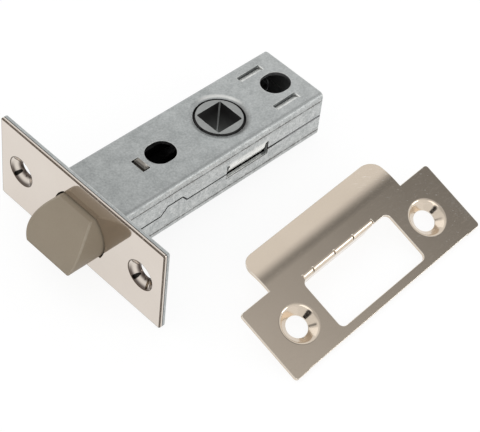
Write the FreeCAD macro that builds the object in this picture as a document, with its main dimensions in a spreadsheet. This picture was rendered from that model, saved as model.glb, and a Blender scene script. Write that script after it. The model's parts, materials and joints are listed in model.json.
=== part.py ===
import FreeCAD, Part
import math
import os
import Sketcher
from FreeCAD import Placement, Rotation, Vector

# Door latch with its strike plate, in millimetres.
# The origin is the centre of the faceplate's front face. +X runs back into the door along the case,
# +Y along the faceplate, and +Z along the spindle. The bolt points to -X.

SIZES = {
    # faceplate: a polished trim over a plain forend plate
    "plate_length": 58.0,
    "plate_width": 25.3,
    "trim_sheet": 0.85,
    "forend_sheet": 1.0,
    "plate_corner": 0.6,
    "plate_edge": 0.2,
    "screw_spacing": 43.0,
    "screw_hole": 4.5,
    "sink_mouth": 8.2,
    "sink_wall": 0.7,
    "sink_gap": 0.1,
    # bolt: a round bar with a flat top and bottom, and a rounded bevel
    "bolt_round": 8.7,
    "bolt_drop": 1.1,
    "bolt_top": 5.55,
    "bolt_bottom": 5.65,
    "bolt_throw": 9.9,
    "bolt_straight": 1.4,
    "bolt_tip": 0.5,
    "bevel_rise": 1.6,
    "bolt_corner": 0.6,
    "bolt_rear": 5.0,
    "bolt_gap": 0.35,
    "spring_bore": 7.2,
    "bore_end": 2.5,
    "stake_spacing": 12.4,
    "stake_pin": 2.6,
    "stake_head": 3.8,
    "stake_thick": 0.7,
    # case: two folded halves that meet at a seam along the sides
    "backset": 45.0,
    "case_tail": 26.3,
    "case_width": 21.3,
    "case_height": 14.4,
    "case_sheet": 1.0,
    "case_bend": 1.4,
    "case_rear_edge": 0.3,
    "case_tab": 2.8,
    "case_tab_start": 2.0,
    "tab_gap": 0.05,
    "seam_gap": 0.14,
    "seam_front": 0.45,
    "seam_raised": 1.6,
    "seam_rear": 0.2,
    "seam_rise_start": 16.4,
    "seam_fall_start": 23.4,
    "seam_fall_end": 24.9,
    # crimp on each side: a tongue of the upper half pressed in behind the lower one
    "crimp_lead": 6.8,
    "crimp_length": 13.9,
    "crimp_top": 2.2,
    "crimp_tip": 0.95,
    "crimp_bottom": 1.75,
    "crimp_slit": 0.8,
    "crimp_depth": 1.1,
    # openings in the case
    "case_bore": 13.1,
    "rim_width": 1.25,
    "rim_depth": 0.35,
    "through_spacing": 39.0,
    "through_length": 8.2,
    "through_width": 7.2,
    "key_slot_gap": 1.25,
    "key_slot_length": 2.25,
    "key_slot_width": 4.5,
    # two strips lanced out of the upper half beside the rear hole
    "lance_lead": 12.95,
    "lance_length": 7.6,
    "lance_width": 1.9,
    "lance_middle": 6.5,
    "lance_drop": 0.9,
    "lance_cut": 0.2,
    # follower: hub, two bosses, square hole and four cam arms
    "spindle": 8.0,
    "boss": 12.2,
    "boss_end": 0.1,
    "bearing_gap": 0.08,
    "collar_rise": 0.15,
    "hub": 13.8,
    "hub_half": 4.6,
    "cam_inner": 3.0,
    "toe_pitch": 8.7,
    "toe_round": 0.6,
    "rest_angle": 33.0,
    "toe_back": 20.0,
    "toe_front": 35.0,
    "arm_root": 5.0,
    # carriage: a steel stirrup round the follower
    "strap": 1.0,
    "strap_gap": 0.2,
    "carriage_width": 18.0,
    "slot_half": 4.0,
    "window_lead": 16.4,
    "window_half": 6.6,
    "prong_lead": 3.6,
    "prong_half": 7.8,
    "carriage_tail": 10.0,
    "travel": 9.48,
    "lug_inner": 7.1,
    "lug_thick": 1.2,
    "cam_gap": 0.15,
    "pusher_inner": 5.2,
    # spring seat: a moulded block keyed into the case
    "seat_length": 3.6,
    "seat_behind_key": 0.4,
    "seat_gap": 0.2,
    "key_length": 1.5,
    "key_width": 3.9,
    "key_sink": 0.35,
    "key_chamfer": 0.25,
    "spigot": 4.0,
    "spigot_length": 4.8,
    # springs
    "coil_steps": 8,
    "bolt_coil": 5.2,
    "bolt_wire": 0.7,
    "bolt_turns": 7.0,
    "return_coil": 3.6,
    "return_wire": 0.6,
    "return_turns": 5.0,
    "return_middle": 7.0,
    # strike plate, in its own frame: length along x, lip towards +y, front face up
    "strike_length": 65.9,
    "strike_width": 19.9,
    "strike_sheet": 1.0,
    "strike_corner": 0.9,
    "strike_step": 0.15,
    "strike_step_end": 4.4,
    "strike_spacing": 45.7,
    "strike_shift": 0.3,
    "strike_hole": 5.6,
    "strike_sink": 9.6,
    "cut_length": 30.1,
    "cut_low": 7.55,
    "cut_high": 6.75,
    "cut_corner": 1.5,
    "lip_length": 46.4,
    "lip_flat": 1.2,
    "lip_round": 17.5,
    "lip_angle": 30.0,
    "lip_corner": 3.8,
    "tongue_bend": 1.3,
    "tongue_slit": 0.35,
    "strike_tilt": 22.2,
    "strike_turn": 2.0,
    "strike_along": 45.85,
    "strike_aside": 60.15,
}

# Where the four tongues of the strike start and end along its length.
TONGUES = {
    "tongue_1_start": -14.0,
    "tongue_1_end": -10.4,
    "tongue_2_end": -3.0,
    "tongue_3_end": 3.6,
    "tongue_4_end": 10.5,
}

document = FreeCAD.newDocument("door_latch")
sheet = document.addObject("Spreadsheet::Sheet", "dims")
for row, (alias, number) in enumerate({**SIZES, **TONGUES}.items(), start=1):
    sheet.set(f"A{row}", alias)
    sheet.set(f"B{row}", str(number))
    sheet.setAlias(f"B{row}", alias)
document.recompute()

HALF_PLATE = "dims.plate_length / 2"
PLATE_BACK = "(dims.trim_sheet + dims.forend_sheet)"
HALF_WIDTH = "dims.case_width / 2"
HALF_HEIGHT = "dims.case_height / 2"
INNER_WIDTH = "(dims.case_width / 2 - dims.case_sheet)"
INNER_HEIGHT = "(dims.case_height / 2 - dims.case_sheet)"
CASE_END = "(dims.backset + dims.case_tail)"
CRIMP_START = "(dims.backset - dims.crimp_lead)"
CRIMP_END = f"({CRIMP_START} + dims.crimp_length)"
LANCE_START = "(dims.backset + dims.lance_lead)"
KEY_SLOT_END = (
    "(dims.backset - (dims.through_spacing + dims.through_length) / 2 - dims.key_slot_gap)"
)
KEY_END = f"({KEY_SLOT_END} - dims.tab_gap)"
SEAT_FRONT = f"({KEY_END} + dims.seat_behind_key - dims.seat_length)"
CARRIAGE_END = "(dims.backset + dims.carriage_tail)"
LEG_TOP = f"({INNER_HEIGHT} - dims.strap_gap)"
LEG_FLOOR = f"({LEG_TOP} - dims.strap)"
HALF_CARRIAGE = "dims.carriage_width / 2"
WEB_BACK = "(dims.bolt_rear + dims.strap)"
LUG_FRONT = (
    "(dims.backset - dims.toe_pitch * sin(dims.rest_angle)"
    " + dims.toe_round + dims.cam_gap)"
)
TONGUE_TIP = (
    "(dims.strike_sheet + (dims.cut_high + dims.strike_width / 2) * tan(dims.strike_tilt))"
)
DIAGONAL = math.sqrt(0.5)


def new_body(name):
    """A body whose label names its file."""
    body = document.addObject("PartDesign::Body", name)
    body.Label = name
    return body


def new_sketch(body, name, role, offset="0", across="0", up="0"):
    """A sketch on one of the body's own origin planes."""
    sketch = body.newObject("Sketcher::SketchObject", name)
    plane = next(item for item in body.Origin.OriginFeatures if item.Role == role)
    sketch.AttachmentSupport = [(plane, "")]
    sketch.MapMode = "FlatFace"
    sketch.setExpression("AttachmentOffset.Base.x", across)
    sketch.setExpression("AttachmentOffset.Base.y", up)
    sketch.setExpression("AttachmentOffset.Base.z", offset)
    return sketch


def pin_point(sketch, geometry, position, across, up):
    """Tie one point of a sketch to two expressions."""
    for kind, expression in (("DistanceX", across), ("DistanceY", up)):
        number = float(sketch.evalExpression(expression))
        index = sketch.addConstraint(Sketcher.Constraint(kind, geometry, position, number))
        sketch.setExpression(f"Constraints[{index}]", expression)


def add_circle(sketch, across, up, diameter):
    """A circle with its centre and diameter tied to expressions."""
    centre = Vector(sketch.evalExpression(across), sketch.evalExpression(up), 0)
    radius = sketch.evalExpression(diameter) / 2
    circle = sketch.addGeometry(Part.Circle(centre, Vector(0, 0, 1), radius))
    pin_point(sketch, circle, 3, across, up)
    index = sketch.addConstraint(Sketcher.Constraint("Diameter", circle, 2 * radius))
    sketch.setExpression(f"Constraints[{index}]", diameter)


def add_outline(sketch, corners, arcs=None):
    """A closed outline. arcs gives, by its first corner, a point that an arc passes through."""
    arcs = arcs or {}
    points = [
        Vector(sketch.evalExpression(across), sketch.evalExpression(up), 0)
        for across, up in corners
    ]
    ends = []
    for index, start in enumerate(points):
        end = points[(index + 1) % len(points)]
        if index in arcs:
            across, up = arcs[index]
            middle = Vector(sketch.evalExpression(across), sketch.evalExpression(up), 0)
            edge = sketch.addGeometry(Part.ArcOfCircle(start, middle, end))
            clockwise = (middle - start).cross(end - middle).z < 0
            ends.append((edge, 2, 1) if clockwise else (edge, 1, 2))
            mark = sketch.addGeometry(Part.Point(middle), True)
            pin_point(sketch, mark, 1, across, up)
            sketch.addConstraint(Sketcher.Constraint("PointOnObject", mark, 1, edge))
        else:
            ends.append((sketch.addGeometry(Part.LineSegment(start, end)), 1, 2))
    for index, (edge, start, _) in enumerate(ends):
        before, _, last = ends[index - 1]
        sketch.addConstraint(Sketcher.Constraint("Coincident", before, last, edge, start))
    for (edge, start, _), (across, up) in zip(ends, corners):
        pin_point(sketch, edge, start, across, up)


def add_rectangle(sketch, left, right, low, high):
    """A rectangle between four expressions."""
    add_outline(sketch, [(left, low), (right, low), (right, high), (left, high)])


def add_round_rectangle(sketch, half_length, low, high, radius):
    """A rectangle with rounded corners, symmetric along the sketch's first axis."""
    inset = f"({radius} * {1 - DIAGONAL})"
    right = f"({half_length})"
    corners = [
        (f"-{right} + {radius}", low),
        (f"{right} - {radius}", low),
        (right, f"{low} + {radius}"),
        (right, f"{high} - {radius}"),
        (f"{right} - {radius}", high),
        (f"-{right} + {radius}", high),
        (f"-{right}", f"{high} - {radius}"),
        (f"-{right}", f"{low} + {radius}"),
    ]
    arcs = {
        1: (f"{right} - {inset}", f"{low} + {inset}"),
        3: (f"{right} - {inset}", f"{high} - {inset}"),
        5: (f"-{right} + {inset}", f"{high} - {inset}"),
        7: (f"-{right} + {inset}", f"{low} + {inset}"),
    }
    add_outline(sketch, corners, arcs)


def add_slot(sketch, middle, length, width):
    """A slot with round ends, along the sketch's first axis."""
    reach = f"({length} - {width}) / 2"
    bow = f"{length} / 2"
    half = f"{width} / 2"
    corners = [
        (f"{middle} - {reach}", f"-{half}"),
        (f"{middle} + {reach}", f"-{half}"),
        (f"{middle} + {reach}", half),
        (f"{middle} - {reach}", half),
    ]
    arcs = {1: (f"{middle} + {bow}", "0"), 3: (f"{middle} - {bow}", "0")}
    add_outline(sketch, corners, arcs)


def pad(body, sketch, name, length, flip=False, both_ways=False):
    """Raise a sketch into a solid."""
    feature = body.newObject("PartDesign::Pad", name)
    feature.Profile = sketch
    feature.setExpression("Length", length)
    feature.Reversed = flip
    feature.SideType = "Symmetric" if both_ways else "One side"
    return feature


def cut(body, sketch, name, length=None, flip=False):
    """Cut a sketch out: right through both ways, or to a depth along the sketch's normal."""
    feature = body.newObject("PartDesign::Pocket", name)
    feature.Profile = sketch
    if length is None:
        feature.Type = "ThroughAll"
        feature.SideType = "Symmetric"
    else:
        feature.setExpression("Length", length)
        feature.Reversed = flip
    return feature


def turn(body, sketch, name, kind="PartDesign::Revolution"):
    """Turn a sketch about its own first axis."""
    feature = body.newObject(kind, name)
    feature.Profile = sketch
    feature.ReferenceAxis = (sketch, ["H_Axis"])
    feature.Angle = 360
    return feature


def edges_where(feature, test):
    """The names of a feature's edges that pass a test."""
    document.recompute()
    return [f"Edge{i}" for i, edge in enumerate(feature.Shape.Edges, start=1) if test(edge)]


def round_edges(body, feature, name, radius, test):
    """Round the edges of a feature that pass a test."""
    fillet = body.newObject("PartDesign::Fillet", name)
    fillet.Base = (feature, edges_where(feature, test))
    fillet.setExpression("Radius", radius)
    return fillet


def bevel_edges(body, feature, name, size, test):
    """Chamfer the edges of a feature that pass a test."""
    chamfer = body.newObject("PartDesign::Chamfer", name)
    chamfer.Base = (feature, edges_where(feature, test))
    chamfer.setExpression("Size", size)
    return chamfer


def reaches(edge, axis, place):
    """Whether an edge lies in the plane at a place along an axis."""
    low = getattr(edge.BoundBox, f"{axis}Min")
    high = getattr(edge.BoundBox, f"{axis}Max")
    return abs(low - place) < 0.01 and abs(high - place) < 0.01


def add_bolt_section(sketch, gap):
    """The bolt's section, grown by a gap: a circle with a flat top and bottom."""
    radius = f"(dims.bolt_round + {gap})"
    top = f"(dims.bolt_top + {gap})"
    bottom = f"(dims.bolt_bottom + {gap})"
    top_half = f"sqrt({radius} ^ 2 - ({top} + dims.bolt_drop) ^ 2)"
    bottom_half = f"sqrt({radius} ^ 2 - ({bottom} - dims.bolt_drop) ^ 2)"
    corners = [
        (f"-{bottom_half}", f"-{bottom}"),
        (bottom_half, f"-{bottom}"),
        (top_half, top),
        (f"-{top_half}", top),
    ]
    arcs = {1: (radius, "-dims.bolt_drop"), 3: (f"-{radius}", "-dims.bolt_drop")}
    add_outline(sketch, corners, arcs)


def add_sheet(body, name, front, thickness):
    """One of the faceplate's two sheets, with the bolt's opening in it."""
    blank = new_sketch(body, f"{name}_outline", "YZ_Plane", front)
    half_width = "dims.plate_width / 2"
    add_round_rectangle(blank, HALF_PLATE, f"-{half_width}", half_width, "dims.plate_corner")
    pad(body, blank, f"{name}_plate", thickness)
    opening = new_sketch(body, f"{name}_opening", "YZ_Plane", front)
    add_bolt_section(opening, "dims.bolt_gap")
    cut(body, opening, f"{name}_bolt_hole")


def soften_sheet(body, feature, name, place):
    """Bevel a sheet's outer edges on the face at a place along X."""
    rim = SIZES["plate_width"] / 2 - SIZES["plate_corner"]
    return bevel_edges(
        body, feature, name, "dims.plate_edge",
        lambda edge: reaches(edge, "X", place)
        and (edge.BoundBox.ZMax > rim or edge.BoundBox.ZMin < -rim
             or abs(edge.CenterOfMass.y) > SIZES["plate_length"] / 2 - SIZES["plate_corner"]),
    )


def make_trim():
    """Polished front sheet, with a pressed countersink round each screw hole."""
    body = new_body("faceplate_trim")
    add_sheet(body, "trim", "0", "dims.trim_sheet")
    depth = "((dims.sink_mouth - dims.screw_hole) / 2)"
    slant = "(dims.sink_wall * sqrt(2))"
    for side, sign in (("left", "-"), ("right", "")):
        middle = f"{sign}dims.screw_spacing / 2"
        cone = new_sketch(body, f"trim_cup_{side}", "XY_Plane", up=middle)
        corners = [
            ("0", "0"),
            ("0", f"dims.sink_mouth / 2 + {slant}"),
            (f"{depth} + dims.sink_wall", f"dims.screw_hole / 2 + {slant} - dims.sink_wall"),
            (f"{depth} + dims.sink_wall", "0"),
        ]
        add_outline(cone, corners)
        turn(body, cone, f"trim_cup_wall_{side}")
        inside = new_sketch(body, f"trim_sink_{side}", "XY_Plane", up=middle)
        corners = [
            ("-dims.sink_wall", "0"),
            ("-dims.sink_wall", "dims.sink_mouth / 2"),
            ("0", "dims.sink_mouth / 2"),
            (depth, "dims.screw_hole / 2"),
            (f"{depth} + 2 * dims.sink_wall", "dims.screw_hole / 2"),
            (f"{depth} + 2 * dims.sink_wall", "0"),
        ]
        add_outline(inside, corners)
        last = turn(body, inside, f"trim_screw_hole_{side}", "PartDesign::Groove")
    soften_sheet(body, last, "trim_front_edge", 0)
    return body


def make_forend():
    """Plain sheet behind the trim, which the case is staked to."""
    body = new_body("forend_plate")
    add_sheet(body, "forend", "dims.trim_sheet", "dims.forend_sheet")
    reach = "(dims.sink_mouth / 2 + dims.sink_wall * sqrt(2) + dims.sink_gap)"
    for side, sign in (("left", "-"), ("right", "")):
        cup = new_sketch(
            body, f"forend_seat_{side}", "XY_Plane", up=f"{sign}dims.screw_spacing / 2"
        )
        corners = [
            ("0", "0"),
            ("0", reach),
            (f"{reach} / 2", f"{reach} / 2"),
            (f"{reach} / 2", "0"),
        ]
        add_outline(cup, corners)
        turn(body, cup, f"forend_screw_seat_{side}", "PartDesign::Groove")
    slots = new_sketch(body, "forend_tab_slots", "YZ_Plane", "dims.trim_sheet")
    for sign in ("", "-"):
        inner = f"{sign}({INNER_WIDTH} - dims.tab_gap)"
        outer = f"{sign}({HALF_WIDTH} + dims.tab_gap)"
        low = "(dims.case_tab_start - dims.tab_gap)"
        high = "(dims.case_tab_start + dims.case_tab + dims.tab_gap)"
        add_rectangle(slots, inner, outer, low, high)
        add_rectangle(slots, inner, outer, f"-{low}", f"-{high}")
    last = cut(body, slots, "forend_tab_slot")
    soften_sheet(body, last, "forend_back_edge", SIZES["trim_sheet"] + SIZES["forend_sheet"])
    return body


def make_bolt():
    """Cast bolt with a rounded bevel, a bore for its spring and two staking pins."""
    body = new_body("latch_bolt")
    section = new_sketch(body, "bolt_section", "YZ_Plane", "-dims.bolt_throw")
    add_bolt_section(section, "0")
    bar = pad(body, section, "bolt_bar", "dims.bolt_throw + dims.bolt_rear")
    round_edges(
        body, bar, "bolt_corners", "dims.bolt_corner",
        lambda edge: edge.BoundBox.XLength > SIZES["bolt_throw"],
    )
    bevel = new_sketch(body, "bolt_bevel", "XZ_Plane")
    run = "(dims.bolt_throw - dims.bolt_straight)"
    drop = "(dims.bolt_top + dims.bolt_bottom - dims.bolt_tip)"
    chord = f"sqrt({run} ^ 2 + {drop} ^ 2)"
    tip = "(dims.bolt_tip - dims.bolt_bottom)"
    corners = [
        ("-dims.bolt_straight", "dims.bolt_top"),
        ("-dims.bolt_throw", tip),
        ("-dims.bolt_throw - dims.bolt_tip", tip),
        ("-dims.bolt_throw - dims.bolt_tip", "dims.bolt_top + dims.bolt_tip"),
        ("-dims.bolt_straight", "dims.bolt_top + dims.bolt_tip"),
    ]
    middle = (
        f"-(dims.bolt_straight + dims.bolt_throw) / 2 - dims.bevel_rise * {drop} / {chord}",
        f"(dims.bolt_top + {tip}) / 2 + dims.bevel_rise * {run} / {chord}",
    )
    add_outline(bevel, corners, {0: middle})
    cut(body, bevel, "bolt_slope")
    bore = new_sketch(body, "bolt_bore", "YZ_Plane", "dims.bolt_rear")
    add_circle(bore, "0", "0", "dims.spring_bore")
    cut(body, bore, "bolt_spring_bore", "dims.bolt_rear + dims.bore_end")
    pins = new_sketch(body, "bolt_pins", "YZ_Plane", "dims.bolt_rear")
    heads = new_sketch(body, "bolt_heads", "YZ_Plane", WEB_BACK)
    for sign in ("", "-"):
        add_circle(pins, f"{sign}dims.stake_spacing / 2", "0", "dims.stake_pin")
        add_circle(heads, f"{sign}dims.stake_spacing / 2", "0", "dims.stake_head")
    pad(body, pins, "bolt_stake_pins", "dims.strap")
    pad(body, heads, "bolt_stake_heads", "dims.stake_thick")
    return body


def add_case_section(sketch, side, foot):
    """A folded half's section: a channel open towards the seam."""
    bend = "dims.case_bend"
    inner_bend = "(dims.case_bend - dims.case_sheet)"
    straight = f"({HALF_HEIGHT} - {bend})"
    flat = f"({HALF_WIDTH} - {bend})"
    outer = f"({bend} * {DIAGONAL})"
    inner = f"({inner_bend} * {DIAGONAL})"
    corners = [
        (f"-{HALF_WIDTH}", foot),
        (f"-{HALF_WIDTH}", straight),
        (f"-{flat}", HALF_HEIGHT),
        (flat, HALF_HEIGHT),
        (HALF_WIDTH, straight),
        (HALF_WIDTH, foot),
        (INNER_WIDTH, foot),
        (INNER_WIDTH, straight),
        (flat, INNER_HEIGHT),
        (f"-{flat}", INNER_HEIGHT),
        (f"-{INNER_WIDTH}", straight),
        (f"-{INNER_WIDTH}", foot),
    ]
    arcs = {
        1: (f"-{flat} - {outer}", f"{straight} + {outer}"),
        3: (f"{flat} + {outer}", f"{straight} + {outer}"),
        7: (f"{flat} + {inner}", f"{straight} + {inner}"),
        9: (f"-{flat} - {inner}", f"{straight} + {inner}"),
    }
    add_outline(
        sketch,
        [(across, f"{side}({up})") for across, up in corners],
        {index: (across, f"{side}({up})") for index, (across, up) in arcs.items()},
    )


def add_seam(sketch, shift, far):
    """Everything on one side of the seam, seen from the side of the case."""
    front = f"(-dims.seam_front + {shift})"
    raised = f"(dims.seam_raised + {shift})"
    rear = f"(-dims.seam_rear + {shift})"
    rise = "(dims.seam_raised + dims.seam_front)"
    corners = [
        ("0", far),
        ("0", front),
        ("dims.seam_rise_start", front),
        (f"dims.seam_rise_start + {rise}", raised),
        ("dims.seam_fall_start", raised),
        ("dims.seam_fall_end", rear),
        (f"{CASE_END} + 1", rear),
        (f"{CASE_END} + 1", far),
    ]
    add_outline(sketch, corners)


def make_case_half(name, side):
    """One folded half of the case. side is empty for the upper half and - for the lower one."""
    body = new_body(name)
    upper = side == ""
    foot = "-dims.seam_front" if upper else "-dims.seam_raised"
    seam_end = "-dims.seam_rear" if upper else "dims.seam_rear"
    section = new_sketch(body, f"{name}_section", "YZ_Plane", PLATE_BACK)
    add_case_section(section, side, foot)
    pad(body, section, f"{name}_channel", f"{CASE_END} - {PLATE_BACK}")
    wall = new_sketch(body, f"{name}_end_wall", "YZ_Plane", f"{CASE_END} - dims.case_sheet")
    flat = f"({HALF_WIDTH} - dims.case_bend)"
    straight = f"{side}({HALF_HEIGHT} - dims.case_bend)"
    bow = f"((dims.case_bend - dims.case_sheet) * {DIAGONAL})"
    corners = [
        (f"-{INNER_WIDTH}", f"{side}({seam_end})"),
        (INNER_WIDTH, f"{side}({seam_end})"),
        (INNER_WIDTH, straight),
        (flat, f"{side}{INNER_HEIGHT}"),
        (f"-{flat}", f"{side}{INNER_HEIGHT}"),
        (f"-{INNER_WIDTH}", straight),
    ]
    bow_up = f"{side}({HALF_HEIGHT} - dims.case_bend + {bow})"
    arcs = {2: (f"{flat} + {bow}", bow_up), 4: (f"-{flat} - {bow}", bow_up)}
    add_outline(wall, corners, arcs)
    pad(body, wall, f"{name}_rear", "dims.case_sheet")
    seam = new_sketch(body, f"{name}_seam", "XZ_Plane")
    shift = "dims.seam_gap / 2" if upper else "-dims.seam_gap / 2"
    add_seam(seam, shift, f"{'-' if upper else ''}{HALF_WIDTH}")
    trimmed = cut(body, seam, f"{name}_seam_edge")
    end = SIZES["backset"] + SIZES["case_tail"]
    bevel_edges(
        body, trimmed, f"{name}_rear_bevel", "dims.case_rear_edge",
        lambda edge: reaches(edge, "X", end)
        and (abs(edge.CenterOfMass.y) > SIZES["case_width"] / 2 - SIZES["case_bend"]
             or abs(edge.CenterOfMass.z) > SIZES["case_height"] / 2 - 0.01),
    )
    add_crimp(body, name, upper)
    tabs = new_sketch(body, f"{name}_front_tabs", "YZ_Plane", "dims.trim_sheet")
    for sign in ("", "-"):
        add_rectangle(
            tabs, f"{sign}{INNER_WIDTH}", f"{sign}{HALF_WIDTH}",
            f"{side}dims.case_tab_start", f"{side}(dims.case_tab_start + dims.case_tab)",
        )
    pad(body, tabs, f"{name}_tabs", "dims.forend_sheet")
    holes = new_sketch(body, f"{name}_holes", "XY_Plane")
    for sign in ("-", "+"):
        middle = f"(dims.backset {sign} dims.through_spacing / 2)"
        add_slot(holes, middle, "dims.through_length", "dims.through_width")
    add_circle(holes, "dims.backset", "0", "dims.case_bore")
    add_rectangle(
        holes, f"{KEY_SLOT_END} - dims.key_slot_length", KEY_SLOT_END,
        "-dims.key_slot_width / 2", "dims.key_slot_width / 2",
    )
    cut(body, holes, f"{name}_hole")
    return body


def add_crimp(body, name, upper):
    """Open both sides across the seam, and press a tongue of the upper half in behind the lower."""
    window = new_sketch(body, f"{name}_crimp_window", "XZ_Plane")
    edge = "dims.crimp_top" if upper else "-dims.crimp_bottom"
    far = f"-{HALF_HEIGHT}" if upper else HALF_HEIGHT
    add_rectangle(window, CRIMP_START, CRIMP_END, edge, far)
    cut(body, window, f"{name}_crimp_opening")
    if not upper:
        return
    start = f"{CRIMP_START} + dims.crimp_slit"
    tongue = new_sketch(body, "crimp_tongue", "YZ_Plane", start)
    depth = "dims.crimp_depth"
    halfway = "(dims.crimp_top - dims.crimp_tip) / 2"
    for sign in ("", "-"):
        outer, inner = f"{sign}({HALF_WIDTH}", f"{sign}({INNER_WIDTH}"
        corners = [
            (f"{outer})", "dims.crimp_top"),
            (f"{outer} - {depth})", "-dims.crimp_tip"),
            (f"{inner} - {depth})", "-dims.crimp_tip"),
            (f"{inner})", "dims.crimp_top"),
        ]
        arcs = {
            0: (f"{outer} - {depth} / 4)", halfway),
            2: (f"{inner} - {depth} / 4)", halfway),
        }
        add_outline(tongue, corners, arcs)
    pad(body, tongue, "crimp", "dims.crimp_length - 2 * dims.crimp_slit")


def make_case_upper():
    """Upper half: the dished rim round the follower and the two lanced strips are in it."""
    body = make_case_half("case_upper", "")
    dish = new_sketch(body, "rim_dish", "XZ_Plane", across="dims.backset")
    corners = [
        ("0", f"{HALF_HEIGHT} - dims.rim_depth"),
        ("dims.case_bore / 2", f"{HALF_HEIGHT} - dims.rim_depth"),
        ("dims.case_bore / 2 + dims.rim_width", HALF_HEIGHT),
        ("dims.case_bore / 2 + dims.rim_width", f"{HALF_HEIGHT} + dims.rim_depth"),
        ("0", f"{HALF_HEIGHT} + dims.rim_depth"),
    ]
    add_outline(dish, corners)
    rim = body.newObject("PartDesign::Groove", "rim_groove")
    rim.Profile = dish
    rim.ReferenceAxis = (dish, ["V_Axis"])
    rim.Angle = 360
    window = new_sketch(body, "lance_window", "XY_Plane", INNER_HEIGHT)
    strip = new_sketch(body, "lance_strip", "YZ_Plane", f"{LANCE_START} + dims.lance_cut")
    for sign in ("-", ""):
        hinge = f"({sign}dims.lance_middle - dims.lance_width / 2)"
        free = f"({sign}dims.lance_middle + dims.lance_width / 2)"
        add_rectangle(
            window, LANCE_START, f"{LANCE_START} + dims.lance_length", hinge, free
        )
        corners = [
            (hinge, HALF_HEIGHT),
            (f"{free} - dims.lance_cut", f"{HALF_HEIGHT} - dims.lance_drop"),
            (f"{free} - dims.lance_cut", f"{INNER_HEIGHT} - dims.lance_drop"),
            (hinge, INNER_HEIGHT),
        ]
        add_outline(strip, corners)
    cut(body, window, "lance_opening", "dims.case_sheet", flip=True)
    pad(body, strip, "lance", "dims.lance_length - 2 * dims.lance_cut")
    return body


def make_case_lower():
    """Lower half of the case."""
    return make_case_half("case_lower", "-")


def along_arm(reach, back, side):
    """A point of a cam arm, from its reach along the arm and its place behind its middle."""
    across = (
        f"dims.backset - ({reach}) * sin(dims.rest_angle)"
        f" + ({back}) * cos(dims.rest_angle)"
    )
    up = f"{side}(({reach}) * cos(dims.rest_angle) + ({back}) * sin(dims.rest_angle))"
    return across, up


def make_follower():
    """Hub with a boss at each end, a square hole and two pairs of cam arms."""
    body = new_body("follower")
    hub = new_sketch(body, "hub_circle", "XY_Plane")
    add_circle(hub, "dims.backset", "0", "dims.hub")
    pad(body, hub, "hub", "2 * dims.hub_half", both_ways=True)
    boss = new_sketch(body, "boss_circle", "XY_Plane")
    add_circle(boss, "dims.backset", "0", "dims.boss")
    pad(body, boss, "bosses", f"2 * ({HALF_HEIGHT} - dims.boss_end)", both_ways=True)
    collar = new_sketch(body, "collar_circle", "XY_Plane")
    add_circle(collar, "dims.backset", "0", "dims.case_bore - 2 * dims.bearing_gap")
    pad(body, collar, "collars", f"2 * ({INNER_HEIGHT} + dims.collar_rise)", both_ways=True)
    for level, start in (("upper", "dims.cam_inner"), ("lower", "-dims.hub_half")):
        arms = new_sketch(body, f"{level}_arms", "XY_Plane", start)
        for side in ("", "-"):
            back, front = "dims.toe_back", "dims.toe_front"
            rear_reach = f"dims.toe_pitch - dims.toe_round * sin({back})"
            rear_place = f"dims.toe_round * cos({back})"
            front_reach = f"dims.toe_pitch + dims.toe_round * sin({front})"
            front_place = f"-dims.toe_round * cos({front})"
            root_rear = f"{rear_place} - ({rear_reach} - dims.arm_root) * tan({back})"
            root_front = f"{front_place} - ({front_reach} - dims.arm_root) * tan({front})"
            corners = [
                along_arm("dims.arm_root", root_rear, side),
                along_arm(rear_reach, rear_place, side),
                along_arm(front_reach, front_place, side),
                along_arm("dims.arm_root", root_front, side),
            ]
            toe = along_arm("dims.toe_pitch + dims.toe_round", "0", side)
            add_outline(arms, corners, {1: toe})
        pad(body, arms, f"{level}_cams", "dims.hub_half - dims.cam_inner")
    hole = new_sketch(body, "spindle_square", "XY_Plane")
    half = "dims.spindle / 2"
    add_rectangle(hole, f"dims.backset - {half}", f"dims.backset + {half}", f"-{half}", half)
    cut(body, hole, "spindle_hole")
    return body


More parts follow.
